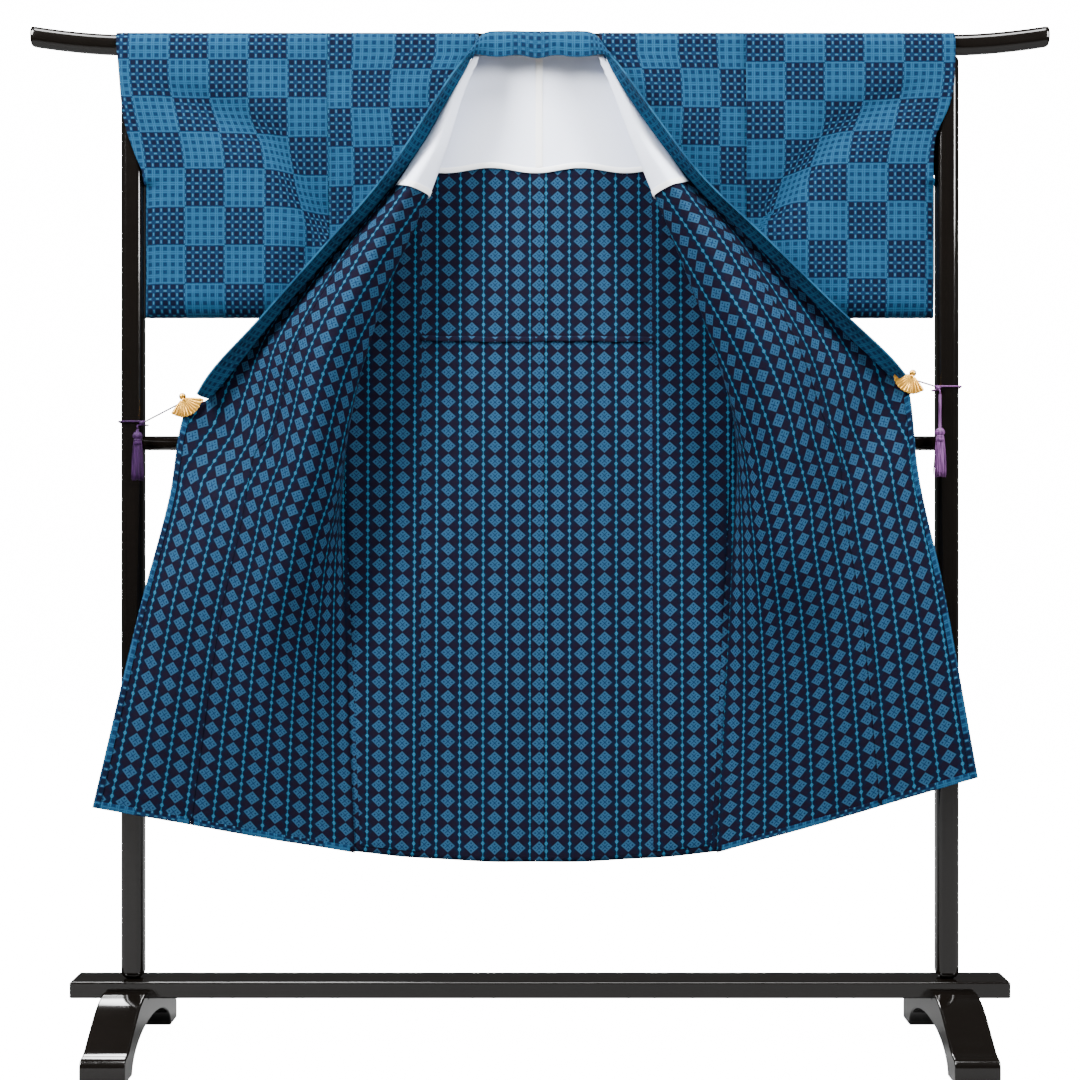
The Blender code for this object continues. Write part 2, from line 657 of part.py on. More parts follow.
def build_stand():
    build_rod()
    build_feet()
    half = POST_SIZE / 2
    for side in (LEFT, RIGHT):
        x = side * POST_OUT
        add_box(f"post_{NAMES[side]}", (x - half, -half, BEAM_HIGH + 0.3),
                (x + half, half, ROD_CENTRE_Z - ROD_HEIGHT / 2 - 0.3), "lacquer", POST_ROUNDING)
    add_box("base_beam", (-BEAM_HALF_LENGTH, -BEAM_DEPTH / 2, BEAM_LOW),
            (BEAM_HALF_LENGTH, BEAM_DEPTH / 2, BEAM_HIGH), "lacquer", BEAM_ROUNDING)
    end = POST_OUT - half - 0.3
    rail = add_tube("mid_rail", [(-end, 0, RAIL_Z), (end, 0, RAIL_Z)], RAIL_RADIUS, "lacquer")
    rail.data.bevel_resolution = 4


def clip_frame(side):
    """The middle of a clip's mouth, its way outwards in plan and its way forward."""
    along = CLIP_DOWN + WRAP_EXTRA
    width = seam_across(CLIP_DOWN)
    edge = front_point(side, along, width)
    inner = front_point(side, along, width - CLIP_GRIP)
    outward = Vector((edge.x - inner.x, edge.y - inner.y, 0)).normalized()
    forward = Vector((outward.y, -outward.x, 0))
    if forward.y > 0:
        forward = -forward
    middle = (edge + inner) / 2
    reach = side * FAN_OUT[side] - middle.x
    top = middle + outward * (reach / outward.x)
    return Vector((top.x, top.y, FAN_HIGH_Z[side])), outward, forward


def build_clips():
    for side in (LEFT, RIGHT):
        top, outward, forward = clip_frame(side)
        name = NAMES[side]
        for part, sign, ribs in (("clip", 1, FAN_RIBS), ("clip_jaw", -1, 4)):
            rows = []
            for radius in (FAN_NECK, 15, FAN_RADIUS - 3, FAN_RADIUS):
                row = []
                for i in range(2 * ribs + 1):
                    angle = FAN_SPREAD * (i / ribs - 1) - FAN_TILT
                    on_rib = i % 2 if part == "clip" else 0
                    lift = FAN_RIB_HEIGHT * on_rib * min(radius / 20, 1)
                    space = JAW_HALF_SPACE + FAN_THICK / 2 + lift
                    reach = radius * (0.96 if radius == FAN_RADIUS and not on_rib else 1)
                    row.append(top + outward * reach * math.sin(angle)
                               - Vector((0, 0, reach * math.cos(angle))) + forward * sign * space)
                rows.append(row)
            add_wall(f"{part}_{name}", rows, FAN_THICK, "gold")
        half = JAW_HALF_SPACE - 0.3
        pin_at = top - Vector((0, 0, FAN_NECK + PIN_RADIUS + 1))
        pin = add_tube(f"clip_pin_{name}", [pin_at - forward * half, pin_at + forward * half],
                       PIN_RADIUS, "gold")
        pin.data.bevel_resolution = 3


def string_route(side):
    """From the clip's pin to the post, once round it, and down to the knot above the tassel."""
    top, outward, forward = clip_frame(side)
    pin = top - Vector((0, 0, FAN_NECK + PIN_RADIUS + 1))
    z = STRING_Z[side]
    away = POST_SIZE / 2 + STRING_RADIUS + 0.6
    inner, outer = POST_OUT - away, POST_OUT + away
    corner = 6
    round_post = [
        (inner + corner, -away - 0.2, z), (POST_OUT, -away - 0.2, z), (outer - corner, -away, z),
        (outer, -away + corner, z), (outer, 0, z - 1), (outer, away - corner, z - 1.5),
        (outer - corner, away, z - 2), (POST_OUT, away, z - 3), (inner + corner, away, z - 4),
        (inner, away - corner, z - 4.4), (inner, 0, z - 5), (inner, -away + corner, z - 5.5),
    ]
    start = pin + outward * (PIN_RADIUS + STRING_RADIUS + 0.3)
    leave = pin + outward * 17 - Vector((0, 0, 1.5))
    arrive = Vector((side * (inner - 8), -away - 4, z))
    lead = [start, leave, leave.lerp(arrive, 0.5) - Vector((0, 0, 2)), arrive]
    route = lead + [Vector((side * x, y, h)) for x, y, h in round_post]
    end = Vector((side * TASSEL_OUT[side], -POST_SIZE / 2 - TASSEL_FORE, z - 13))
    route += [Vector((side * (inner + 3), -away - 1, z - 5.8)), end + Vector((0, 0, 5)), end]
    points, _ = rounded_path(route, 40)
    return points, end


def build_tassel(side, hang):
    """A cord, a bulb and strands, each strand drawn out of its own cell of the bulb's underside."""
    name = f"tassel_{NAMES[side]}"
    centre = Vector((hang.x, hang.y, 0))
    top_z = hang.z - 0.8
    head_z = top_z - TASSEL_CORD[side]
    shape = bmesh.new()
    profile = [(2.2, top_z), (2.2, head_z), (5, head_z - 1.5), (TASSEL_HEAD_RADIUS, head_z - 5),
               (TASSEL_HEAD_RADIUS, head_z - 9), (5.4, head_z - 12), (6.2, head_z - TASSEL_HEAD_HIGH)]
    ring_radii = [6.2 * (1 - i / TASSEL_RINGS) for i in range(1, TASSEL_RINGS)]
    floor = [(r, head_z - TASSEL_HEAD_HIGH) for r in ring_radii]
    rings = []
    for radius, z in profile + floor:
        rings.append([shape.verts.new((radius * math.cos(a), radius * math.sin(a), z))
                      for a in np.linspace(0, 2 * math.pi, TASSEL_SECTORS, endpoint=False)])
    cells = []
    for r, (a, b) in enumerate(zip(rings, rings[1:])):
        for i in range(TASSEL_SECTORS):
            j = (i + 1) % TASSEL_SECTORS
            face = shape.faces.new((a[i], a[j], b[j], b[i]))
            if r >= len(profile) - 1:
                cells.append(face)
    cap = shape.verts.new((0, 0, top_z))
    tip = shape.verts.new((0, 0, head_z - TASSEL_HEAD_HIGH))
    for i in range(TASSEL_SECTORS):
        j = (i + 1) % TASSEL_SECTORS
        shape.faces.new((rings[0][j], rings[0][i], cap))
        cells.append(shape.faces.new((rings[-1][i], rings[-1][j], tip)))
    bmesh.ops.recalc_face_normals(shape, faces=shape.faces)
    bmesh.ops.inset_individual(shape, faces=cells, thickness=0.16)
    drawn = bmesh.ops.extrude_discrete_faces(shape, faces=cells)["faces"]
    for i, face in enumerate(drawn):
        middle = face.calc_center_median()
        length = TASSEL_LENGTH - TASSEL_HEAD_HIGH + 3 * math.sin(2.3 * i)
        for vert in face.verts:
            off = vert.co - middle
            place = middle * TASSEL_SPREAD + off * 0.9
            vert.co = (place.x, place.y * 0.85, middle.z - length)
    bmesh.ops.scale(shape, vec=Vector((MM, MM, MM)), verts=shape.verts)
    mesh = bpy.data.meshes.new(name)
    shape.to_mesh(mesh)
    shape.free()
    item = add_object(name, mesh, "tassel")
    item.location = centre * MM


def build_ties():
    for side in (LEFT, RIGHT):
        points, end = string_route(side)
        add_tube(f"string_{NAMES[side]}", points, STRING_RADIUS, "tassel")
        build_tassel(side, end)


build_stand()
build_backs()
build_fronts()
build_sleeves()
build_collar()
build_linings()
build_clips()
build_ties()
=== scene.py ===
"""A man's yukata with its fronts turned open on a black lacquered kimono stand.

The garment is cut from a cloth with two faces: an even check outside and columns of small diamonds
inside. Each piece is a wall of cloth over the surface it hangs in, with its hems, turnings and
stitches laid on it. Lengths are in millimetres until a mesh is made. "out" is the distance from the
middle of the stand towards either side, "fore" is towards the front, "down" is below the shoulder.
"""

import math
from collections import namedtuple

import bmesh
import bpy
import numpy as np
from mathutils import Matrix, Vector, noise


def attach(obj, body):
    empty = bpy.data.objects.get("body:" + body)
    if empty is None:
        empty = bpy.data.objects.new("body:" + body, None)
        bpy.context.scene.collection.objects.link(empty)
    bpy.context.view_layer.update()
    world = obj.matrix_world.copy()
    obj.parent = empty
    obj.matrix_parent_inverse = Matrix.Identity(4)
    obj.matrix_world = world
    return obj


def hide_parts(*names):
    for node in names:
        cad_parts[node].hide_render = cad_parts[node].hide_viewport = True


MM = 0.001
LEFT, RIGHT = -1, 1
NAMES = {LEFT: "left", RIGHT: "right"}

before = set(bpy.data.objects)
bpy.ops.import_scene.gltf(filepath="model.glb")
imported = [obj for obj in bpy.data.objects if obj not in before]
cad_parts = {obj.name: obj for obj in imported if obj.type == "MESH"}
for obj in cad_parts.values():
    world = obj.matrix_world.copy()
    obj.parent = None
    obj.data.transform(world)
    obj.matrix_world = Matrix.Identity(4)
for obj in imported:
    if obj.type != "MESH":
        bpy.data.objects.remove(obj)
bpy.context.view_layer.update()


# The camera stands in front of the middle, level with the garment's middle

CAMERA_BACK, CAMERA_HIGH, CAMERA_LENS = 3.05, 0.847, 61.13

eye = bpy.data.cameras.new("camera")
eye.lens = CAMERA_LENS
eye.sensor_width = 36
camera = bpy.data.objects.new("camera", eye)
camera.location = (0, -CAMERA_BACK, CAMERA_HIGH)
camera.rotation_euler = (math.pi / 2, 0, 0)
bpy.context.scene.collection.objects.link(camera)
bpy.context.scene.camera = camera


# Dyes and finishes


class Amount:
    """A number that may vary over a surface. Working with it adds the nodes for the sum."""

    def __init__(self, finish, socket):
        self.finish = finish
        self.socket = socket

    def worked(self, operation, *values, clamp=False):
        made = self.finish.tree.nodes.new("ShaderNodeMath")
        made.operation = operation
        made.use_clamp = clamp
        for place, value in zip(made.inputs, values):
            self.finish.put(place, value)
        return Amount(self.finish, made.outputs[0])

    def __add__(self, other):
        return self.worked("ADD", self, other)

    def __radd__(self, other):
        return self.worked("ADD", other, self)

    def __sub__(self, other):
        return self.worked("SUBTRACT", self, other)

    def __rsub__(self, other):
        return self.worked("SUBTRACT", other, self)

    def __mul__(self, other):
        return self.worked("MULTIPLY", self, other)

    def __rmul__(self, other):
        return self.worked("MULTIPLY", other, self)

    def __truediv__(self, other):
        return self.worked("DIVIDE", self, other)

    def __mod__(self, other):
        return self.worked("FLOORED_MODULO", self, other)

    def __abs__(self):
        return self.worked("ABSOLUTE", self)

    def floor(self):
        return self.worked("FLOOR", self)

    def larger_of(self, other):
        return self.worked("MAXIMUM", self, other)

    def wave(self, length):
        return self.worked("SINE", self * (2 * math.pi / length))

    def below(self, limit, soft):
        """1 below the limit and 0 above it, with an edge this soft."""
        return self.worked("ADD", (limit - self) * (1 / soft), 0.5, clamp=True)

    def from_nearest(self, pitch):
        """The distance to the nearest whole number of pitches."""
        return abs((self + pitch / 2) % pitch - pitch / 2)


class Finish:
    """The material of one kind of surface, built up node by node."""

    def __init__(self, name, roughness, metallic=0.0):
        self.material = bpy.data.materials.new(name)
        self.material.use_nodes = True
        self.tree = self.material.node_tree
        self.shader = self.tree.nodes["Principled BSDF"]
        self.set("Roughness", roughness)
        self.set("Metallic", metallic)

    def put(self, place, value):
        if isinstance(value, Amount):
            self.tree.links.new(value.socket, place)
        elif hasattr(value, "__len__") and len(value) == 3 and place.type == "RGBA":
            place.default_value = (*value, 1)
        else:
            place.default_value = value

    def set(self, name, value):
        self.put(self.shader.inputs[name], value)

    def node(self, kind, settings=None, inputs=None, output=0):
        made = self.tree.nodes.new(kind)
        for name, value in (settings or {}).items():
            setattr(made, name, value)
        for name, value in (inputs or {}).items():
            self.put(made.inputs[name], value)
        return Amount(self, made.outputs[output])

    def mixed(self, share, first, second):
        """The first colour where share is 0 and the second where it is 1."""
        return self.node("ShaderNodeMix", {"data_type": "RGBA"},
                         {0: share, 6: first, 7: second}, 2)

    def cut_place(self):
        """Where a point lies in its piece's cut, across and along, in millimetres."""
        place = self.node("ShaderNodeUVMap", {"uv_map": "Cut"})
        across = self.node("ShaderNodeSeparateXYZ", None, {0: place}, 0)
        return across * 1000, Amount(self, across.socket.node.outputs[1]) * 1000

    def place(self, stretch=(1, 1, 1)):
        """Where a point lies on the object, stretched, in metres."""
        here = self.node("ShaderNodeTexCoord", None, None, "Object")
        return self.node("ShaderNodeVectorMath", {"operation": "MULTIPLY"}, {0: here, 1: stretch})

    def clouds(self, scale, detail, where):
        return self.node("ShaderNodeTexNoise", None,
                         {"Scale": scale, "Detail": detail, "Vector": where})

    def relief(self, height, depth, strength=1.0):
        bumps = self.node("ShaderNodeBump", None,
                          {"Height": height, "Distance": depth, "Strength": strength})
        self.set("Normal", bumps)


def from_hex(text):
    """A screen colour as linear red, green and blue."""
    parts = [int(text[i:i + 2], 16) / 255 for i in (0, 2, 4)]
    return tuple(((p + 0.055) / 1.055) ** 2.4 if p > 0.04045 else p / 12.92 for p in parts)


NAVY = from_hex("050C1E")
PLUM_BLACK = from_hex("0A0817")
DIAMOND_BLUE = from_hex("1D3C54")
CHAIN_BLUE = from_hex("1D536F")
MID_BLUE = from_hex("081D36")
DASH_BLUE = from_hex("244D65")
LIGHT_BLUE = from_hex("102F4A")
GRID_BLUE = from_hex("1C4762")
SQUARE_BLUE = from_hex("041B34")

# The check: blocks of five by five dark squares and blocks of as many small ones
BLOCK_WIDE, BLOCK_HIGH = 65.5, 63.5
DARK_COUNT, LIGHT_COUNT = 5, 5
DARK_PITCH, LIGHT_PITCH = 13.1, 12.8
DARK_SQUARE, LIGHT_SQUARE = 7.8, 5.4

# The columns of diamonds
COLUMN, ROW = 38.6, 24.7
DIAMOND_WIDE, DIAMOND_HIGH = 24.0, 22.4


def threads(finish, across, along, across_scale, along_scale):
    """Uneven streaks along the threads: one scale is fine and the other long."""
    return finish.clouds(1.0, 2.0, finish.node(
        "ShaderNodeCombineXYZ", None, {0: across * across_scale, 1: along * along_scale}))


def weave(finish, across, along, colour):
    """Threads of uneven thickness and dye, and the fine ribs where they cross."""
    warp = threads(finish, across, along, 0.9, 0.05)
    weft = threads(finish, across, along, 0.05, 0.9)
    slub = warp * 0.5 + weft * 0.5
    worn = finish.clouds(5.0, 3.0, finish.place())
    shade = (slub - 0.5) * 0.9 + (worn - 0.5) * 0.22 + 1
    tinted = finish.node("ShaderNodeVectorMath", {"operation": "MULTIPLY"}, {
        0: colour, 1: finish.node("ShaderNodeCombineXYZ", None, {0: shade, 1: shade, 2: shade})})
    finish.set("Base Color", tinted)
    finish.set("Roughness", slub * 0.18 + 0.74)
    ribs = across.wave(1.1) * along.wave(1.1)
    creases = finish.clouds(26.0, 4.0, finish.place((1, 1, 0.55)))
    finish.relief(ribs * 0.12 + slub * 0.6 + creases * 2.2, 0.0011, 0.55)


def cotton(name):
    finish = Finish(name, 0.82)
    finish.set("Specular IOR Level", 0.05)
    return finish


def make_check(name, darkness):
    """The outer face of the cloth: an even check of dark and light blocks of small squares."""
    finish = cotton(name)
    across, along = finish.cut_place()
    blocks_across, blocks_along = across / BLOCK_WIDE, along / BLOCK_HIGH
    dark = (blocks_across.floor() + blocks_along.floor()) % 2 * darkness
    at = (across % BLOCK_WIDE - BLOCK_WIDE / 2, along % BLOCK_HIGH - BLOCK_HIGH / 2)

    side, high = (a + DARK_PITCH * (DARK_COUNT - 1) / 2 for a in at)
    to_side, to_high = side.from_nearest(DARK_PITCH), high.from_nearest(DARK_PITCH)
    square = to_side.larger_of(to_high).below(DARK_SQUARE / 2, 0.9)
    half = DARK_PITCH / 2
    flat_dash = to_side.below(2.5, 0.9) * (half - to_high).below(1.2, 0.9)
    tall_dash = (half - to_side).below(1.2, 0.9) * to_high.below(2.5, 0.9)
    dark_face = finish.mixed(square, MID_BLUE, NAVY)
    dark_face = finish.mixed(flat_dash.larger_of(tall_dash), dark_face, DASH_BLUE)

    side, high = (a + LIGHT_PITCH * (LIGHT_COUNT - 1) / 2 for a in at)
    to_side, to_high = side.from_nearest(LIGHT_PITCH), high.from_nearest(LIGHT_PITCH)
    within = abs(at[0]).larger_of(abs(at[1])).below(LIGHT_PITCH * LIGHT_COUNT / 2, 0.9)
    edge = to_side.larger_of(to_high)
    small = edge.below(LIGHT_SQUARE / 2, 0.9) * within
    heart = edge.below(LIGHT_SQUARE / 2 - 1.7, 0.7) * within
    half = LIGHT_PITCH / 2
    lines = abs((half - to_side) - 1.5).below(0.62, 0.6).larger_of(
        abs((half - to_high) - 1.5).below(0.62, 0.6))
    light_face = finish.mixed(lines * 0.85, LIGHT_BLUE, GRID_BLUE)
    light_face = finish.mixed(small * (0.95 - 0.35 * heart), light_face, SQUARE_BLUE)
    weave(finish, across, along, finish.mixed(dark, light_face, dark_face))
    return finish.material


def make_diamonds():
    """The inner face of the cloth: columns of quartered diamonds between fine chains."""
    finish = cotton("indigo_diamonds")
    across, along = finish.cut_place()
    side, high = across.from_nearest(COLUMN), along.from_nearest(ROW)
    share_side, share_high = side / (DIAMOND_WIDE / 2), high / (DIAMOND_HIGH / 2)
    from_middle = share_side + share_high
    diamond = from_middle.below(1, 0.1)
    slits = abs(side - high).below(0.8, 0.6) * from_middle.below(0.74, 0.06)
    slits *= 1 - from_middle.below(0.16, 0.06)
    eye_spots = (abs(share_side - 0.56) + share_high).below(0.15, 0.1).larger_of(
        (abs(share_high - 0.56) + share_side).below(0.15, 0.1))
    heart = from_middle.below(0.15, 0.08)
    cuts = slits.larger_of(eye_spots).larger_of(heart)

    gap_side, gap_high = COLUMN / 2 - side, ROW / 2 - high
    gap_share = gap_high / 11.2 + abs(side - 7.5) / 9.5
    ground = finish.mixed(gap_share.below(0.95, 0.25), NAVY, PLUM_BLACK)
    colour = finish.mixed(diamond, ground, DIAMOND_BLUE)
    colour = finish.mixed(cuts * 0.95, colour, from_hex("041634"))

    knot_place = (along + ROW * 0.29).from_nearest(ROW / 2)
    knot = abs(gap_side + knot_place - 2.3).below(0.85, 0.7)
    knot = knot.larger_of((gap_side - 1.2 + abs(knot_place - 1.6)).below(1.1, 0.6))
    link = gap_side.below(0.75, 0.7) * (along.wave(2.6) * 0.3 + 0.6)
    link *= 1 - (gap_side + knot_place).below(1.3, 0.6)
    colour = finish.mixed(knot.larger_of(link) * 0.88, colour, CHAIN_BLUE)
    weave(finish, across, along, colour)
    return finish.material


def make_white_cotton(name, shade):
    finish = cotton(name)
    across, along = finish.cut_place()
    streaks = threads(finish, across, along, 1.2, 0.09)
    soft = finish.clouds(9.0, 3.0, finish.place((1, 1, 0.6)))
    colour = finish.mixed(streaks * 0.5 + soft * 0.5, tuple(c * 0.9 for c in shade), shade)
    finish.set("Base Color", colour)
    finish.set("Roughness", streaks * 0.1 + 0.78)
    finish.relief(across.wave(0.8) * along.wave(0.8) * 0.08 + soft * 2.4, 0.001, 0.5)
    return finish.material


def make_lacquer():
    """Black lacquer: a warm near-black under a clear, hard gloss."""
    finish = Finish("black_lacquer", 0.16)
    depth = finish.clouds(3.0, 4.0, finish.place())
    finish.set("Base Color", finish.mixed(depth, from_hex("050403"), from_hex("0D0A08")))
    rubbed = finish.clouds(60.0, 3.0, finish.place((0.3, 1, 1)))
    finish.set("Roughness", rubbed * 0.08 + 0.08)
    finish.set("Specular IOR Level", 0.42)
    finish.set("Coat Weight", 0.15)
    finish.set("Coat Roughness", 0.04)
    finish.relief(finish.clouds(9.0, 2.0, finish.place()), 0.0006, 0.25)
    return finish.material


def make_gold():
    finish = Finish("gold_plate", 0.34, 1.0)
    grain = finish.clouds(90.0, 4.0, finish.place((1, 1, 0.4)))
    finish.set("Base Color", finish.mixed(grain, from_hex("D8952A"), from_hex("F2BE54")))
    finish.set("Roughness", grain * 0.12 + 0.3)
    finish.relief(finish.clouds(300.0, 2.0, finish.place()), 0.0003, 0.3)
    return finish.material


def make_silk(name, deep, bright):
    """Loose or twisted silk thread."""
    finish = Finish(name, 0.5)
    strand = finish.clouds(1.0, 2.0, finish.place((900, 900, 30)))
    share = strand.worked("MULTIPLY_ADD", strand, 3.2, -1.1, clamp=True)
    finish.set("Base Color", finish.mixed(share, from_hex(deep), from_hex(bright)))
    finish.set("Roughness", strand * 0.2 + 0.38)
    finish.set("Specular IOR Level", 0.15)
    finish.relief(strand, 0.0004, 0.5)
    return finish.material


CHECK = make_check("indigo_check", 1)
COLLAR_CHECK = make_check("indigo_check_collar", 0.4)
DIAMONDS = make_diamonds()
WHITE = make_white_cotton("white_cotton", from_hex("E9EFFF"))
WHITE_HEM = make_white_cotton("white_cotton_hem", from_hex("F7F8FA"))
LACQUER = make_lacquer()
GOLD = make_gold()
SILK = {LEFT: make_silk("plum_silk", "14071E", "3A1A48"),
        RIGHT: make_silk("mauve_silk", "3A1C42", "774A7E")}


# The sizes and the hang of the garment, as the solids have them

WRAP_RADIUS, WRAP_CENTRE_Z, SHOULDER_Z = 19, 1670.5, 1690
WRAP_EXTRA = WRAP_RADIUS * math.pi / 2 - (SHOULDER_Z - WRAP_CENTRE_Z)
WRAP_END = 40
SAG_START, SAG = 745, 28
GARMENT_CENTRE, GAP = -7.5, 0.1
LENGTH, FRONT_WIDTH, NECK_WIDTH = 1395, 260, 251
OVERLAP_TOP, COLLAR_END, SEAM_AT_COLLAR_END, HEM_WIDTH = 230, 745, 400, 410
ARMHOLE, SLEEVE_DROP, HAND_OPENING = 390, 474, 256
CLOTH = 1.2

Plan = namedtuple("Plan", "down rise side under fold ridge hollow brow seam")
FRONTS = {
    LEFT: (
        Plan(40, 0, 351, (250, 20), (112, 20), (109, 21), (107, 21), (105, 20), (104, 19)),
        Plan(120, 3, 351, (200, 24), (135, 31), (140, 42), (144, 42), (147, 38), (149, 33)),
        Plan(200, 8, 350, (225, 26), (157, 42), (165, 66), (175, 66), (183, 55), (190, 42)),
        Plan(285, 21, 350, (250, 27), (185, 52), (206, 90), (222, 84), (233, 66), (241, 46)),
        Plan(425, 55, 348, (290, 28), (242, 74), (272, 122), (300, 112), (322, 80), (337, 48)),
        Plan(590, 96, 340, (312, 32), (295, 92), (340, 142), (385, 118), (422, 82), (446, 46)),
        Plan(745, 138, 333, (322, 52), (330, 104), (375, 140), (435, 102), (490, 68), (533, 55)),
        Plan(776, 138, 332, (325, 54), (336, 106), (382, 138), (444, 102), (512, 64), (581, 57)),
        Plan(890, 112, 326, (340, 60), (362, 104), (404, 130), (466, 104), (535, 92), (602, 68)),
        Plan(1077, 105, 318, (350, 56), (396, 86), (450, 106), (512, 104), (582, 110), (645, 98)),
        Plan(1385, 86, 304, (362, 52), (425, 72), (492, 84), (566, 92), (642, 106), (716, 118)),
    ),
    RIGHT: (
        Plan(40, 0, 340, (240, 20), (108, 20), (105, 21), (103, 21), (101, 20), (100, 19)),
        Plan(120, 4, 341, (195, 24), (131, 31), (136, 42), (140, 42), (143, 38), (145, 33)),
        Plan(200, 12, 342, (222, 26), (158, 42), (168, 66), (178, 66), (187, 55), (194, 42)),
        Plan(285, 28, 343, (250, 27), (190, 52), (212, 90), (229, 84), (240, 66), (248, 46)),
        Plan(425, 72, 343, (290, 28), (243, 74), (276, 122), (307, 112), (331, 80), (347, 48)),
        Plan(590, 122, 333, (312, 32), (302, 92), (348, 142), (396, 118), (436, 82), (464, 46)),
        Plan(745, 168, 325, (328, 52), (349, 102), (396, 138), (462, 102), (528, 68), (572, 55)),
        Plan(776, 172, 323, (330, 54), (352, 104), (402, 134), (470, 102), (538, 64), (603, 57)),
        Plan(890, 158, 317, (336, 60), (366, 102), (414, 130), (482, 104), (552, 88), (614, 66)),
        Plan(1077, 147, 307, (345, 56), (396, 84), (456, 102), (520, 98), (590, 102), (650, 90)),
        Plan(1385, 132, 290, (353, 50), (420, 70), (490, 80), (562, 86), (634, 94), (704, 103)),
    ),
}

Edge = namedtuple("Edge", "down out fore")
COLLAR_EDGES = {
    LEFT: (Edge(70, 128, 72), Edge(120, 158, 86), Edge(200, 204, 94), Edge(285, 253, 99),
           Edge(425, 344, 101), Edge(590, 454, 98), Edge(745, 553, 94)),
    RIGHT: (Edge(70, 124, 72), Edge(120, 155, 86), Edge(200, 205, 94), Edge(285, 257, 99),
            Edge(425, 356, 101), Edge(590, 474, 98), Edge(745, 589, 94)),
}
COLLAR_SEAT, COLLAR_SEAT_AT_NECK = 2.2, 7
COLLAR_BULGE, COLLAR_EDGE_LIFT, COLLAR_UNDER = 5, 4, 14

Turn = namedtuple("Turn", "seam upper lower edge")
NECK_TURNS = (
    Turn((-24, 1.5, 1691.4), (-24, 15, 1685.8), (-24, 20.9, 1667), (-24, 20.9, 1645)),
    Turn((-6, 4, 1691.2), (-6, 17, 1686), (-6, 24, 1668), (-5, 25, 1646)),
    Turn((-1, 23, 1680), (0, 32, 1675), (4, 41, 1663), (9, 39, 1650)),
    Turn((2, 27, 1650), (4, 42, 1655), (9, 54, 1649), (14, 57, 1640)),
)
NECK_OUT = {LEFT: 104, RIGHT: 100}

Hang = namedtuple("Hang", "z fore")
BACK_HANG = (Hang(1671, -19), Hang(1500, -11.5), Hang(1300, -1), Hang(1110, 9), Hang(1020, 13.2),
             Hang(990, 13.8), Hang(700, 24), Hang(318, 36))
BACK_HEM_Z, BACK_HEM_SIDE_RISE = 318, 17
BACK_WAVE, BACK_WAVE_LENGTH, BACK_WAVE_TOP = 6, 148, 980
SIDE_SEAM_SPACE = 2.2

Cuff = namedtuple("Cuff", "down front back")
CUFFS = {
    LEFT: (Cuff(0, 702, 702), Cuff(60, 697, 699), Cuff(119, 692, 695), Cuff(152, 687, 691),
           Cuff(199, 672, 680), Cuff(226, 661, 664), Cuff(238, 656.5, 657), Cuff(256, 655.5, 655.5),
           Cuff(400, 655.5, 655.5), Cuff(474, 656, 656)),
    RIGHT: (Cuff(0, 687, 690), Cuff(83, 685, 689), Cuff(123, 677, 686), Cuff(159, 661, 681),
            Cuff(184, 652, 676), Cuff(226, 650, 664), Cuff(238, 650, 657), Cuff(256, 653, 655),
            Cuff(400, 655, 655), Cuff(474, 654, 654)),
}
SLEEVE_FORE, SLEEVE_ROUNDING = 20.5, 42
Trough = namedtuple("Trough", "out down")
SLEEVE_TROUGHS = {
    LEFT: (Trough(622, 92), Trough(446, 183), Trough(403, 275), Trough(354, 342)),
    RIGHT: (Trough(616, 98), Trough(489, 170), Trough(441, 227), Trough(389, 300)),
}
TROUGH_DEPTH, TROUGH_WIDTH = 9, 34
LINING_TOP, LINING_END, LINING_SPACE, LINING_HEM = 36, 293, 1.9, 9
LINING_EDGE_Z, LINING_SCALLOP, LINING_SCALLOP_LENGTH = 1463, 4.5, 150


def eased(low, high, value):
    """0 up to low, 1 from high on, and a smooth step between them."""
    t = min(max((value - low) / (high - low), 0), 1)
    return t * t * (3 - 2 * t)


def through(places, values, place):
    """A smooth curve through values at rising places, which never overshoots them."""
    places = np.asarray(places, float)
    values = np.asarray(values, float).reshape(len(places), -1)
    steps = np.diff(places)
    slopes = np.diff(values, axis=0) / steps[:, None]
    before, after = slopes[:-1], slopes[1:]
    same_way = before * after > 0
    inner = np.where(same_way, 2 * before * after / np.where(same_way, before + after, 1), 0)
    tangents = np.vstack([slopes[:1], inner, slopes[-1:]])
    place = min(max(place, places[0]), places[-1])
    i = min(int(np.searchsorted(places, place, side="right")) - 1, len(steps) - 1)
    t = (place - places[i]) / steps[i]
    return (
        (1 + 2 * t) * (1 - t) ** 2 * values[i]
        + t * (1 - t) ** 2 * steps[i] * tangents[i]
        + t * t * (3 - 2 * t) * values[i + 1]
        + t * t * (t - 1) * steps[i] * tangents[i + 1]
    )


def rounded_path(corners, count):
    """A Catmull-Rom curve through the corners, as count points at even distances."""
    corners = np.asarray(corners, float)
    ends = np.vstack([2 * corners[0] - corners[1], corners, 2 * corners[-1] - corners[-2]])
    fine = []
    for a, b, c, d in zip(ends[:-3], ends[1:-2], ends[2:-1], ends[3:]):
        for t in np.linspace(0, 1, 12, endpoint=False):
            fine.append(
                0.5 * (2 * b + (c - a) * t + (2 * a - 5 * b + 4 * c - d) * t**2
                       + (3 * b - a - 3 * c + d) * t**3)
            )
    fine = np.array(fine + [corners[-1]])
    run = np.concatenate([[0], np.cumsum(np.linalg.norm(np.diff(fine, axis=0), axis=1))])
    even = np.linspace(0, run[-1], count)
    return np.stack([np.interp(even, run, column) for column in fine.T], 1), run[-1]


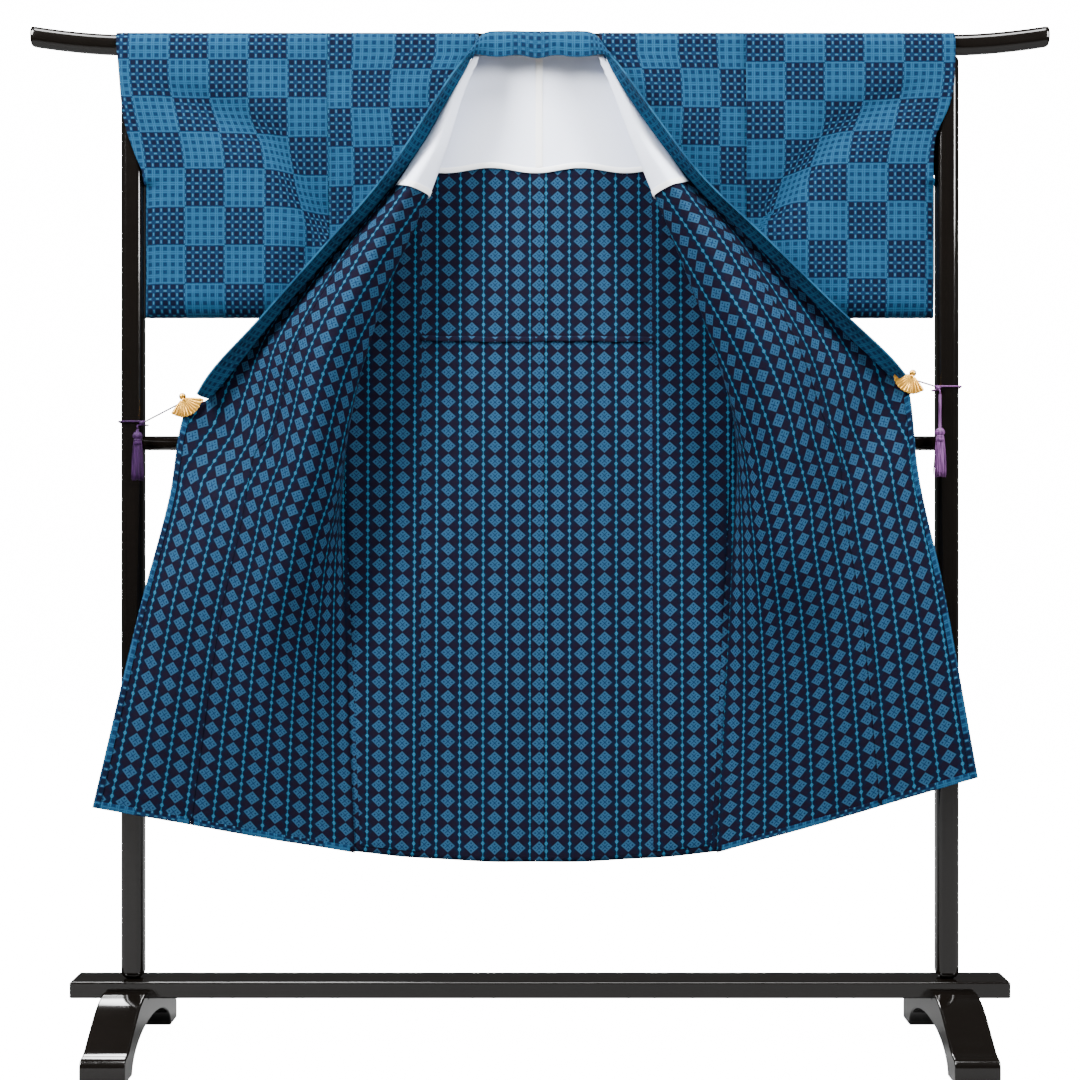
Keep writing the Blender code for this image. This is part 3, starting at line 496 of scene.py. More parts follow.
def over_rod(along):
    """(fore, z) of the cloth at this distance from the shoulder line, before the rod."""
    quarter = WRAP_RADIUS * math.pi / 2
    if along < quarter:
        angle = along / WRAP_RADIUS
        return WRAP_RADIUS * math.sin(angle), WRAP_CENTRE_Z + WRAP_RADIUS * math.cos(angle)
    return WRAP_RADIUS, WRAP_CENTRE_Z - (along - quarter)


def seam_across(down):
    """The cut width of a front and its overlap, from the side seam to the collar seam or edge."""
    places = (0, OVERLAP_TOP, COLLAR_END, LENGTH)
    widths = (NECK_WIDTH, FRONT_WIDTH, SEAM_AT_COLLAR_END, HEM_WIDTH)
    return float(np.interp(down, places, widths))


def side_out(side, down):
    rows = FRONTS[side]
    return float(through([r.down for r in rows], [r.side for r in rows], down)[0])


def back_fore(z):
    rows = BACK_HANG[::-1]
    return float(through([r.z for r in rows], [r.fore for r in rows], z)[0])


def side_fore(down):
    """How far fore a front's side edge lies: at the rod's front, then on the back's side edge."""
    joined = back_fore(SHOULDER_Z - down) + SIDE_SEAM_SPACE
    return WRAP_RADIUS + (joined - WRAP_RADIUS) * eased(120, ARMHOLE, down)


def front_section(side, down):
    """One front in plan at this depth: points at even distances along the cloth, and its fold."""
    rows = FRONTS[side]
    corners = [[row.under, row.fold, row.ridge, row.hollow, row.brow, row.seam] for row in rows]
    flat = through([r.down for r in rows], np.array(corners).reshape(len(rows), -1), down)
    start = (side_out(side, down), side_fore(max(down, WRAP_END)))
    points, whole = rounded_path(np.vstack([start, flat.reshape(-1, 2)]), 121)
    _, to_fold = rounded_path(np.vstack([start, flat.reshape(-1, 2)[:2]]), 9)
    return points, to_fold / whole


def crinkle(point, seed, fade):
    """How far the soft cotton stands off its main form here: small dents and slight creases."""
    here = Vector((point[0], point[2] * 0.55, seed)) / 70
    fine = Vector((point[0], point[2] * 0.7, seed + 40)) / 24
    return fade * (1.5 * noise.noise(here) + 0.35 * noise.noise(fine))


def front_line(side, along, acrosses):
    """The points of a front at one distance from the shoulder, at each of these places across."""
    down = along - WRAP_EXTRA
    seam = seam_across(down)
    points, fold_share = front_section(side, max(down, WRAP_END))
    rows = FRONTS[side]
    rise = float(through([r.down for r in rows], [r.rise for r in rows], down)[0])
    below = max(down - SAG_START, 0) / (rows[-1].down - SAG_START)
    fold_share *= 1 - eased(0, 1, below)
    shares = np.asarray(acrosses) / seam
    outs = np.interp(shares * (len(points) - 1), range(len(points)), points[:, 0])
    fores = np.interp(shares * (len(points) - 1), range(len(points)), points[:, 1])
    line = []
    for share, out, fore in zip(shares, outs, fores):
        if down < WRAP_END:
            rod_fore, z = over_rod(along)
            fore = rod_fore + (fore - WRAP_RADIUS) * (along / (WRAP_END + WRAP_EXTRA)) ** 2
        else:
            lifted = rise * min(max((share - fold_share) / (1 - fold_share), 0), 1)
            z = SHOULDER_Z - down + SAG * below + lifted
        line.append(Vector((side * out, -fore, z)))
    return line


def fold_across(side, along):
    down = along - WRAP_EXTRA
    return front_section(side, max(down, WRAP_END))[1] * seam_across(down)


def centre_out(side):
    """How far out the centre seam lies, as either side counts it."""
    return side * GARMENT_CENTRE + GAP / 2


def back_point(side, along, share):
    """A point of a back panel, share 0 at the centre seam and 1 at the side."""
    down = along - WRAP_EXTRA
    middle = centre_out(side)
    out = middle + share * (side_out(side, down) - middle)
    fore, z = over_rod(along)
    if along < WRAP_RADIUS * math.pi / 2:
        return Vector((side * out, fore, z))
    hem = BACK_HEM_Z + BACK_HEM_SIDE_RISE * share**2
    z = WRAP_CENTRE_Z + (z - WRAP_CENTRE_Z) * (WRAP_CENTRE_Z - hem) / (
        LENGTH - WRAP_RADIUS * math.pi / 2)
    wave = BACK_WAVE * (1 - eased(BACK_HEM_Z, BACK_WAVE_TOP, z))
    wave *= 0.5 - 0.5 * math.cos(2 * math.pi * (out - middle) / BACK_WAVE_LENGTH)
    wave *= 1 - eased(0.75, 1, share)
    return Vector((side * out, -back_fore(z) - wave, z))


def to_trough(side, out, down):
    """The distance from the line of a sleeve's soft trough, positive below the line."""
    line = SLEEVE_TROUGHS[side]
    nearest, below = math.inf, 1
    for a, b in zip(line, line[1:]):
        run = (b.out - a.out, b.down - a.down)
        at = (out - a.out, down - a.down)
        t = min(max((at[0] * run[0] + at[1] * run[1]) / (run[0] ** 2 + run[1] ** 2), 0), 1)
        distance = math.hypot(at[0] - t * run[0], at[1] - t * run[1])
        if distance < nearest:
            nearest, below = distance, math.copysign(1, run[1] * at[0] - run[0] * at[1])
    return nearest * below


def sleeve_point(side, along, share, front):
    """A point of a sleeve's front or back layer, share 0 at the armhole and 1 at the hand."""
    down = along - WRAP_EXTRA
    rows = CUFFS[side]
    open_front = front and down < HAND_OPENING - 1
    cuff = float(through([r.down for r in rows],
                         [r.front if open_front else r.back for r in rows], down)[0])
    closed_below = down >= ARMHOLE - 1
    start = side_out(side, down) + GAP + 4 * eased(ARMHOLE - 8, ARMHOLE, down)
    out = start + share * (cuff - start)
    rod_fore, z = over_rod(along)
    if along < WRAP_RADIUS * math.pi / 2:
        return Vector((side * out, -rod_fore if front else rod_fore, z))
    near = side_fore(down)
    far = back_fore(z)
    blend = eased(0, 0.35, share)
    middle = (1 - blend) * (near + far) / 2
    half = (1 - blend) * (near - far) / 2 + blend * SLEEVE_FORE
    if closed_below:
        half = SLEEVE_FORE * eased(0, 0.35, share) + 6 * eased(0, 0.05, share) * (1 - blend)
    to_closed = SLEEVE_DROP - down
    if down > HAND_OPENING - 1:
        to_closed = min(to_closed, cuff - out)
    rounding = 1 - min(max(to_closed, 0) / SLEEVE_ROUNDING, 1)
    half *= math.sqrt(max(1 - rounding**2, 0))
    fore = middle + (half if front else -half)
    if front:
        distance = to_trough(side, out, down)
        depth = TROUGH_DEPTH * eased(60, 120, down) * (1 - eased(590, 650, out))
        fore -= depth * math.exp(-((distance / TROUGH_WIDTH) ** 2))
        fore = max(fore, middle - half + min(3.2, 2 * half))
    return Vector((side * out, -fore, z))


# Pieces


def add_piece(name, mesh, materials, slot, *nodes):
    piece = bpy.data.objects.new(name, mesh)
    for material in materials:
        mesh.materials.append(material)
    bpy.context.scene.collection.objects.link(piece)
    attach(piece, "root")
    if nodes:
        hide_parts(*nodes)
    return piece


def made_mesh(name, shape):
    bmesh.ops.scale(shape, vec=(MM, MM, MM), verts=shape.verts)
    mesh = bpy.data.meshes.new(name)
    shape.to_mesh(mesh)
    shape.free()
    mesh.shade_smooth()
    return mesh


def grid_shape(rows, cut_rows):
    """A surface over rows of points, each face with its place in the cut."""
    shape = bmesh.new()
    cut = shape.loops.layers.uv.new("Cut")
    points = [[shape.verts.new(p) for p in row] for row in rows]
    for i in range(len(rows) - 1):
        for j in range(len(rows[i]) - 1):
            places = ((i, j), (i, j + 1), (i + 1, j + 1), (i + 1, j))
            face = shape.faces.new([points[a][b] for a, b in places])
            for loop, (a, b) in zip(face.loops, places):
                loop[cut].uv = Vector(cut_rows[a][b]) * MM
    return shape


def add_cloth(name, rows, cut_rows, faces, thickness, slot, *nodes, weld=False):
    """A wall of cloth over rows of points. faces are its materials, near side first."""
    shape = grid_shape(rows, cut_rows)
    if weld:
        bmesh.ops.remove_doubles(shape, verts=shape.verts, dist=0.02)
    piece = add_piece(name, made_mesh(name, shape), faces, slot, *nodes)
    wall = piece.modifiers.new("wall", "SOLIDIFY")
    wall.thickness = thickness * MM
    wall.offset = 0
    wall.material_offset = len(faces) - 1
    return piece


def soften_edges(piece, width, segments, harden=False):
    edges = piece.modifiers.new("soft edges", "BEVEL")
    edges.width = width * MM
    edges.segments = segments
    edges.limit_method = "ANGLE"
    edges.angle_limit = math.radians(50)
    edges.harden_normals = harden


def moved_out(rows, distance):
    """A grid's points, each moved so that the faces beside it all move out by the distance."""
    faces = [[(upper[j + 1] - lower[j]).cross(lower[j + 1] - upper[j]).normalized()
              for j in range(len(upper) - 1)] for upper, lower in zip(rows, rows[1:])]
    moved = []
    for i, row in enumerate(rows):
        beside = faces[max(i - 1, 0):i + 1]
        moved.append([])
        for j, point in enumerate(row):
            normals = [n for strip in beside for n in strip[max(j - 1, 0):j + 1]]
            way = sum(normals, Vector()).normalized()
            least = max(min(way.dot(n) for n in normals), 0.5)
            moved[-1].append(point + way * (distance / least))
    return moved


ROD_STEP, ROD_END = 4, 50


def steps_along(first, last, step):
    """Distances down a panel, closer where it goes over the rod."""
    near = [a for a in np.arange(0, ROD_END, ROD_STEP) if first <= a < min(last, ROD_END)]
    start = max(first, ROD_END)
    run = list(np.linspace(start, last, max(round((last - start) / step), 1) + 1))
    return near + run


def faces_for(outer_first):
    return (CHECK, DIAMONDS) if outer_first else (DIAMONDS, CHECK)


# Phase of the patterns on each piece: what is added to (across, along) in the cut
BACK_PHASE = {LEFT: (-28.4, -13.5), RIGHT: (-36.9, -13.5)}
FRONT_PHASE = {LEFT: (25, 51), RIGHT: (20, -11)}
OVERLAP_PHASE = {LEFT: (21, 4), RIGHT: (15, 9)}
SLEEVE_PHASE = {LEFT: (-286, 68.3), RIGHT: (-339.4, 63.3)}
# How much of the cut the trough of each sleeve takes up, across and along
TAKEN_UP = {LEFT: (27, 10), RIGHT: (28, 24)}
# The reach of the clip's pull, down from the shoulder
CLIP_PULL = (700, 850)
# How far the back passes behind a front's side edge, as a share of its width
SEAM_LAP = 0.014


def soft_back_point(side, along, share):
    """A point of a back panel with the cloth's small creases."""
    point = back_point(side, along, share)
    fade = eased(40, 140, along) * eased(0, 0.1, share) * (1 - eased(0.86, 1, share))
    point.y += crinkle(point, 3, fade)
    return point


def build_backs():
    shares = np.linspace(0, 1, 61)
    for side in (LEFT, RIGHT):
        rows, cut = [], []
        for along in steps_along(0, LENGTH, PANEL_STEP):
            under = 1 + SEAM_LAP * eased(ARMHOLE, ARMHOLE + 60, along)
            row = [soft_back_point(side, along, share * under) for share in shares]
            rows.append(row)
            cut.append([(abs(p.x - GARMENT_CENTRE) + BACK_PHASE[side][0],
                         along + BACK_PHASE[side][1]) for p in row])
        rows[0] = [p + Vector((0, GAP / 2, 0)) for p in rows[0]]
        add_cloth(f"back_panel_{NAMES[side]}", rows, cut, faces_for(side == RIGHT), CLOTH,
                  "cloth", f"back_{NAMES[side]}")


STEPS_TO_FOLD, STEPS_PAST_FOLD = 16, 26


def front_places(side, along):
    """Distances across a front panel: from the centre to its large fold, and on to its edge."""
    down = along - WRAP_EXTRA
    width = min(FRONT_WIDTH, seam_across(down))
    fold = fold_across(side, along)
    to_fold = np.linspace(0, fold, STEPS_TO_FOLD + 1)
    past_fold = np.linspace(fold, width, STEPS_PAST_FOLD + 1)
    return [*to_fold, *past_fold[1:]]


def path_length(side, down):
    points, _ = front_section(side, down)
    return float(np.linalg.norm(np.diff(points, axis=0), axis=1).sum())


def drawn_out(side, down):
    """How much further than its neighbours a row of a front reaches where the clip draws it out."""
    low, high = CLIP_PULL
    if not low < down < high:
        return 1.0
    share = (down - low) / (high - low)
    even = path_length(side, low) * (1 - share) + path_length(side, high) * share
    return path_length(side, down) / even


def in_cut(side, along, places, phase):
    reach = drawn_out(side, along - WRAP_EXTRA)
    return [(a * reach + phase[side][0], along + phase[side][1]) for a in places]


def softened(side, along, acrosses, line):
    """The front's points with small creases, none where it meets the collar or the side seam."""
    down = along - WRAP_EXTRA
    for across, point in zip(acrosses, line):
        fade = eased(90, 200, down) * eased(0, 40, across)
        fade *= eased(0, 30, seam_across(down) - across)
        fade *= 1 - (1 - eased(20, 70, abs(down - 765))) * eased(240, 330, across)
        point.y += crinkle((point.x + side * across, 0, point.z), 11 + side, fade)
    return line


def front_rows(side, alongs, places_at, cut_at, bare=False):
    """Rows of a front's points with their places in the cut, with small creases unless bare."""
    rows, cut = [], []
    for along in alongs:
        places = places_at(along)
        line = front_line(side, along, places)
        rows.append(line if bare else softened(side, along, places, line))
        cut.append(cut_at(along, places))
    return rows, cut


PANEL_STEP, OVERLAP_START = 9, OVERLAP_TOP + 14
OVERLAP_ALONGS = steps_along(OVERLAP_START + WRAP_EXTRA, LENGTH, PANEL_STEP)


def build_fronts():
    for side in (LEFT, RIGHT):
        name, order = NAMES[side], faces_for(side == RIGHT)
        rows, cut = front_rows(
            side, steps_along(0, LENGTH, PANEL_STEP), lambda along: front_places(side, along),
            lambda along, places: in_cut(side, along, places, FRONT_PHASE))
        rows[0] = [p - Vector((0, GAP / 2, 0)) for p in rows[0]]
        add_cloth(f"front_panel_{name}", rows, cut, order, CLOTH, "cloth", f"front_{name}")
        rows, cut = front_rows(
            side, OVERLAP_ALONGS,
            lambda along: np.linspace(FRONT_WIDTH + GAP, seam_across(along - WRAP_EXTRA), 21),
            lambda along, places: in_cut(side, along, places, OVERLAP_PHASE))
        add_cloth(f"overlap_panel_{name}", rows, cut, order, CLOTH, "cloth", f"overlap_{name}")


def taken_up(side, out, down):
    """0 above a sleeve's trough and 1 well below it, where the cloth has slid into it."""
    return eased(-26, 26, to_trough(side, out, down)) * eased(70, 250, down)


def build_sleeves():
    shares = [0, 0.01, 0.025, *np.linspace(0.05, 0.95, 46), 0.965, 0.98, 0.99, 1]
    downs = [*np.arange(50, HAND_OPENING, 8), HAND_OPENING, *np.arange(264, ARMHOLE - 3, 8),
             ARMHOLE - 2, *np.arange(ARMHOLE + 4, 460, 6), 463, 466, 469, 471.5, 473, SLEEVE_DROP]
    for side in (LEFT, RIGHT):
        run = list(np.arange(0, 50, 4)) + [d + WRAP_EXTRA for d in downs]
        rows, cut = [], []
        for front, order in ((False, run[:0:-1]), (True, run)):
            for along in order:
                row = [sleeve_point(side, along, share, front) for share in shares]
                fade = eased(40, 120, along) * (1 - eased(430, 470, along))
                for share, point in zip(shares, row):
                    ends = eased(0.04, 0.3, share) * (1 - eased(0.85, 0.97, share))
                    point.y += crinkle(point, 21 if front else 27, fade * ends)
                rows.append(row)
                way = 1 if front else -1
                taken = [taken_up(side, abs(p.x), along) if front else 0 for p in row]
                cut.append([(abs(p.x) + SLEEVE_PHASE[side][0] + TAKEN_UP[side][0] * t,
                             way * along + SLEEVE_PHASE[side][1] + TAKEN_UP[side][1] * t)
                            for p, t in zip(row, taken)])
        add_cloth(f"sleeve_cloth_{NAMES[side]}", rows, cut, faces_for(side == LEFT), CLOTH,
                  "cloth", f"sleeve_{NAMES[side]}", weld=True)


build_backs()
build_fronts()
build_sleeves()


# What a maker would add: hems, turnings, the tuck, the lining and the collar


def strip(name, rows, cut_rows, material, thickness=0.9, lift=0.0, slot="cloth"):
    """A narrow piece of cloth that lies on a panel."""
    lifted = moved_out(rows, lift) if lift else rows
    soften_edges(add_cloth(name, lifted, cut_rows, (material,), thickness, slot),
                 thickness * 0.3, 2)


HEM_DEEP, HEM_ROWS, TURNING, EDGE_TURNING = 11, 4, 1.15, 1.84
EDGE_START = COLLAR_END + 44


def build_hems():
    """Narrow hems, turned to the inside so that the check shows, along the foot and free edges."""
    foot = np.linspace(LENGTH - HEM_DEEP, LENGTH, HEM_ROWS)
    overlap = np.linspace(FRONT_WIDTH + 2, HEM_WIDTH - HEM_DEEP, 19)

    def edge_places(along):
        edge = seam_across(along - WRAP_EXTRA)
        return np.linspace(edge - HEM_DEEP, edge - 0.3, HEM_ROWS)

    for side in (LEFT, RIGHT):
        name = NAMES[side]
        rows = [[soft_back_point(side, along, share) for share in np.linspace(0.002, 0.99, 61)]
                for along in foot]
        cut = [[(abs(p.x) + 11, along + 31) for p in row] for row, along in zip(rows, foot)]
        strip(f"back_hem_{name}", rows, cut, CHECK, lift=side * TURNING)
        for part, places_at, across in (
                ("front_hem", lambda along: front_places(side, along)[1:-1], 17),
                ("overlap_hem", lambda along: overlap, 47)):
            rows, cut = front_rows(
                side, foot, places_at,
                lambda along, places: [(a + across, along + 31) for a in places])
            strip(f"{part}_{name}", rows, cut, CHECK, lift=-side * TURNING)
        rows, cut = front_rows(
            side, np.linspace(EDGE_START, LENGTH, 74), edge_places,
            lambda along, places: [(a - seam_across(along - WRAP_EXTRA) + 40, along + 12)
                                   for a in places])
        strip(f"overlap_edge_{name}", rows, cut, CHECK, lift=-side * EDGE_TURNING)


# Where each side seam's turning starts, out from the middle, and where it ends as a share
TURNING_START, TURNING_END = {LEFT: 196, RIGHT: 186}, 0.97
TURNING_TOP = 232
CENTRE_TURNING, CENTRE_TOP, CENTRE_FOOT = (-15, 7), 1467, 321
SEAM_TURNING, SEAM_TURNING_LIFT = 12, 1.35


def on_back(x, z, lift):
    """A point on the inside of the back at this x and height, as much forward as lift."""
    side = LEFT if x < GARMENT_CENTRE else RIGHT
    middle = centre_out(side)
    share = (side * x - middle) / (side_out(side, SHOULDER_Z - z) - middle)
    hem = BACK_HEM_Z + BACK_HEM_SIDE_RISE * share**2
    along = WRAP_RADIUS * math.pi / 2 + (WRAP_CENTRE_Z - z) * (
        LENGTH - WRAP_RADIUS * math.pi / 2) / (WRAP_CENTRE_Z - hem)
    return soft_back_point(side, along, share) - Vector((0, lift, 0)), along


def on_back_rows(steps, xs, place_at, cut_at):
    """Rows on the inside of the back. place_at gives height and lift, from a row's step and x."""
    rows, cut = [], []
    for step in steps:
        placed = [on_back(x, *place_at(step, i, x)) for i, x in enumerate(xs)]
        rows.append([point for point, _ in placed])
        cut.append([cut_at(x, along) for x, (_, along) in zip(xs, placed)])
    return rows, cut


def build_turnings():
    """The wide turnings of the side seams, and those of the overlap and centre seams."""
    for side in (LEFT, RIGHT):
        name, middle = NAMES[side], centre_out(side)
        rows, cut = [], []
        for along in np.linspace(TURNING_TOP, LENGTH - HEM_DEEP, 130):
            out = side_out(side, along - WRAP_EXTRA)
            shares = np.linspace((TURNING_START[side] - middle) / (out - middle), TURNING_END, 16)
            row = [soft_back_point(side, along, share) - Vector((0, TURNING, 0))
                   for share in shares]
            rows.append(row)
            cut.append([(abs(p.x) + (5 if side == LEFT else 17), along - 20) for p in row])
        strip(f"side_turning_{name}", rows, cut, DIAMONDS, 0.8)

        def seam_places(along):
            room = seam_across(along - WRAP_EXTRA) - FRONT_WIDTH
            return np.linspace(FRONT_WIDTH - 1.5, FRONT_WIDTH + min(SEAM_TURNING, 0.8 * room), 6)

        rows, cut = front_rows(
            side, OVERLAP_ALONGS[2:-1], seam_places,
            lambda along, places: in_cut(side, along, places, OVERLAP_PHASE))
        strip(f"overlap_turning_{name}", rows, cut, DIAMONDS, 0.6, -side * SEAM_TURNING_LIFT)
    low, high = CENTRE_TURNING
    rows, cut = on_back_rows(
        np.linspace(CENTRE_TOP, CENTRE_FOOT, 141), np.linspace(low, high, 8),
        lambda z, i, x: (z, 1.3 + 0.5 * math.sin(math.pi * i / 7)),
        lambda x, along: (x - low + 25, along - 13.5))
    strip("centre_turning", rows, cut, DIAMONDS, 0.8)


TUCK_Z, TUCK_DEEP, TUCK_SIDES = 1176, 9, (-197, 188)


def build_tuck():
    """The tuck across the back is a low ledge, its free edge downwards."""
    def place(step, _, x):
        share, z = step
        swell = 1.5 + 2.2 * math.sin(math.pi * 0.62 * share)
        return z + 0.8 * math.sin(x / 37) + 0.5 * math.sin(x / 11), swell

    def cut_place(x, along):
        phase = BACK_PHASE[LEFT if x < GARMENT_CENTRE else RIGHT]
        return abs(x - GARMENT_CENTRE) + phase[0], along + 4

    steps = [(i / 5, z) for i, z in enumerate(np.linspace(TUCK_Z + TUCK_DEEP, TUCK_Z, 6))]
    rows, cut = on_back_rows(steps, np.linspace(*TUCK_SIDES, 78), place, cut_place)
    strip("back_tuck", rows, cut, DIAMONDS)


def collar_station(side, down):
    """The collar across its width at one depth of a front, from its seam to its free edge."""
    along = down + WRAP_EXTRA
    seam = front_line(side, along, [seam_across(down)])[0]
    rows = COLLAR_EDGES[side]
    out, fore = through([r.down for r in rows], [(r.out, r.fore) for r in rows], down)
    edge = Vector((side * out, -fore, seam.z + COLLAR_EDGE_LIFT))
    seat = COLLAR_SEAT_AT_NECK + (COLLAR_SEAT - COLLAR_SEAT_AT_NECK) * eased(80, 240, down)
    seat -= COLLAR_UNDER * eased(620, COLLAR_END - 20, down)
    start = seam + (edge - seam).normalized() * seat
    bulge = Vector((side * COLLAR_BULGE, 0, 0))
    return start, start.lerp(edge, 1 / 3) + bulge, start.lerp(edge, 2 / 3) + bulge, edge


NECK_HOLLOWS = ((0.27, 4.5), (0.5, -3.0), (0.68, 4.5))


def neck_station(left, right, share):
    """The collar behind the neck, its free edge a little wavy and its fold bumpy."""
    station = [a.lerp(b, share) for a, b in zip(left, right)]
    lift = sum(rise * math.exp(-((share - place) / 0.085) ** 2) for place, rise in NECK_HOLLOWS)
    dent = math.exp(-((share - 0.52) / 0.035) ** 2)
    station[3] = station[3] + Vector((0, -0.8 * dent, lift))
    station[2] = station[2] + Vector((0, 1.2 * dent - 0.8, 0.4 * lift))
    station[1] = station[1] + Vector((0, -0.5, 0.9 * math.sin(9 * share)))
    return station


COLLAR_THICK, COLLAR_WIDE, COLLAR_COLUMNS = 3.0, 55, 13


def build_collar():
    """One band, folded along its free edge: a flattened loop drawn along the neck and fronts."""
    runs = {}
    for side in (LEFT, RIGHT):
        turns = []
        for turn in NECK_TURNS:
            turns.append([Vector((side * (NECK_OUT[side] + p[0]), -p[1], p[2])) for p in turn])
        fronts = [collar_station(side, down) for down in np.linspace(75, COLLAR_END + 5, 40)]
        runs[side] = turns + fronts
    left, right = runs[LEFT], runs[RIGHT]
    neck = [neck_station(left[0], right[0], share) for share in np.linspace(0, 1, 22)[1:-1]]
    corners = np.array([[tuple(p) for p in s] for s in left[::-1] + neck + right])
    run = np.concatenate([[0], np.cumsum(np.linalg.norm(np.diff(corners[:, 0], axis=0), axis=1))])
    rows, cut = [], []
    for station, along in zip(corners, run):
        line, _ = rounded_path(station, COLLAR_COLUMNS)
        rows.append([Vector(p) for p in line])
        cut.append([(COLLAR_WIDE * j / (COLLAR_COLUMNS - 1) + 8, along)
                    for j in range(COLLAR_COLUMNS)])
    smooth = []
    for line in zip(*rows):
        line = list(line)
        for _ in range(2):
            line = [line[0]] + [a * 0.25 + b * 0.5 + c * 0.25
                                for a, b, c in zip(line, line[1:], line[2:])] + [line[-1]]
        smooth.append(line)
    rows = [list(row) for row in zip(*smooth)]
    soften_edges(add_cloth("collar_band", rows, cut, (COLLAR_CHECK,), COLLAR_THICK, "cloth",
                           "collar"), 1.2, 3)


def lining_edge(x):
    return LINING_EDGE_Z - LINING_SCALLOP * math.cos(
        2 * math.pi * (x - GARMENT_CENTRE) / LINING_SCALLOP_LENGTH)


def build_linings():
    top = over_rod(LINING_TOP)[1]
    low_x, high_x = -side_out(LEFT, 100) + 12, side_out(RIGHT, 100) - 12

    def on_lining(x, z, lift):
        soft = crinkle(Vector((x, 0, z)), 5, 0.75) + 1.3 * math.exp(
            -((x + 0.34 * (z - 1560) - 45) / 16) ** 2)
        return Vector((x, -back_fore(z) - LINING_SPACE - lift + min(soft, 1.1), z))

    def back_rows(xs, steps, place_at, shift):
        """place_at gives the height and lift of a point, from its row's step and its x."""
        rows = [[on_lining(x, *place_at(step, i, x)) for i, x in enumerate(xs)] for step in steps]
        return rows, [[(x + shift, SHOULDER_Z - p.z) for x, p in zip(xs, row)] for row in rows]

    wide = np.linspace(low_x, high_x, 90)
    rows, cut = back_rows(
        wide, np.linspace(0, 1, 26),
        lambda share, _, x: (top + share * (lining_edge(x) - top), 0), 400)
    add_cloth("lining_cloth_back", rows, cut, (WHITE,), 0.8, "lining", "lining_back")
    rows, cut = back_rows(
        wide, ((0, 0), (0.7, 0.06), (0.9, 0.5), (0.8, 0.9), (0.3, 1)),
        lambda step, _, x: (lining_edge(x) + LINING_HEM * (1 - step[1]), 0.6 + step[0]), 400)
    strip("lining_hem", rows, cut, WHITE_HEM, 0.7, slot="lining")
    rows, cut = back_rows(
        np.linspace(-7.5, 4.5, 6),
        np.linspace(top - 2, lining_edge(GARMENT_CENTRE) + LINING_HEM, 30),
        lambda z, i, _: (z, 0.9 + 0.5 * math.sin(math.pi * i / 5)), 100)
    strip("lining_seam", rows, cut, WHITE_HEM, 0.7, slot="lining")

    for side in (LEFT, RIGHT):
        name = NAMES[side]

        def rows_off(alongs, space, trim):
            """The lining's rows this far off the front, less a few points at each end."""
            rows, cut = front_rows(
                side, alongs, lambda along: front_places(side, along),
                lambda along, places: [(a, along) for a in places], bare=True)
            rows = moved_out(rows, -side * space)
            return [row[trim:-trim] for row in rows], [row[trim:-trim] for row in cut]

        rows, cut = rows_off(np.linspace(WRAP_END + WRAP_EXTRA, LINING_END, 30), LINING_SPACE, 1)
        add_cloth(f"lining_cloth_{name}", rows, cut, (WHITE,), 0.8, "lining", f"lining_{name}")
        rows, cut = rows_off([LINING_END - back for back in (LINING_HEM, 6, 3, -0.5)],
                             LINING_SPACE + 1, 2)
        strip(f"lining_front_hem_{name}", rows, cut, WHITE_HEM, 0.7, slot="lining")


build_hems()
build_turnings()
build_tuck()
build_collar()
build_linings()


# The stand

ROD_HALF_LENGTH, ROD_HEIGHT, ROD_DEPTH, ROD_CENTRE_Z = 845, 34, 28, 1670
ROD_STRAIGHT, ROD_END_RISE = 690, 14.5
POST_OUT, POST_SIZE = 676, 37
RAIL_Z, RAIL_RADIUS = 1008, 12
BEAM_HALF_LENGTH, BEAM_DEPTH, BEAM_LOW, BEAM_HIGH = 774, 72, 93, 120
FOOT_OUT, FOOT_WIDTH, FOOT_HALF_LENGTH = 680, 72, 205
FOOT_ARCH_HALF, FOOT_ARCH_HIGH = 150, 56


def closed_loft(rings):
    """A skin over rings of points, closed at both ends."""
    shape = bmesh.new()
    made = [[shape.verts.new(p) for p in ring] for ring in rings]
    for a, b in zip(made, made[1:]):
        for i in range(len(a)):
            j = (i + 1) % len(a)
            shape.faces.new((a[i], a[j], b[j], b[i]))
    shape.faces.new(made[0][::-1])
    shape.faces.new(made[-1])
    bmesh.ops.recalc_face_normals(shape, faces=shape.faces)
    return shape


def build_rod():
    tips = [(0, 0.80), (0.8, 0.89), (2.2, 0.95), (4.5, 0.985), (8, 1)]
    xs = [(-ROD_HALF_LENGTH + back, fit) for back, fit in tips]
    xs += [(x, 1) for x in np.linspace(-830, -690, 24)] + [(-400, 1)]
    xs = xs + [(0, 1)] + [(-x, fit) for x, fit in xs[::-1]]
    rings = []
    for x, fit in xs:
        beyond = max(abs(x) - ROD_STRAIGHT, 0) / (ROD_HALF_LENGTH - ROD_STRAIGHT)
        z = ROD_CENTRE_Z + ROD_END_RISE * beyond**1.7
        ring = []
        for i in range(64):
            angle = 2 * math.pi * (i + 0.5) / 64
            c, s = math.cos(angle), math.sin(angle)
            ring.append(Vector((x, math.copysign(abs(c) ** 0.85, c) * ROD_DEPTH / 2 * fit,
                                z + math.copysign(abs(s) ** 0.85, s) * ROD_HEIGHT / 2 * fit)))
        rings.append(ring)
    add_piece("rod", made_mesh("rod", closed_loft(rings)), (LACQUER,), "lacquer", "top_rod")


def rounded_block(name, low, high, bevel, *nodes):
    shape = bmesh.new()
    bmesh.ops.create_cube(shape, size=1)
    for vert in shape.verts:
        vert.co = Vector([low[i] if vert.co[i] < 0 else high[i] for i in range(3)])
    soften_edges(add_piece(name, made_mesh(name, shape), (LACQUER,), "lacquer", *nodes),
                 bevel, 6, harden=True)


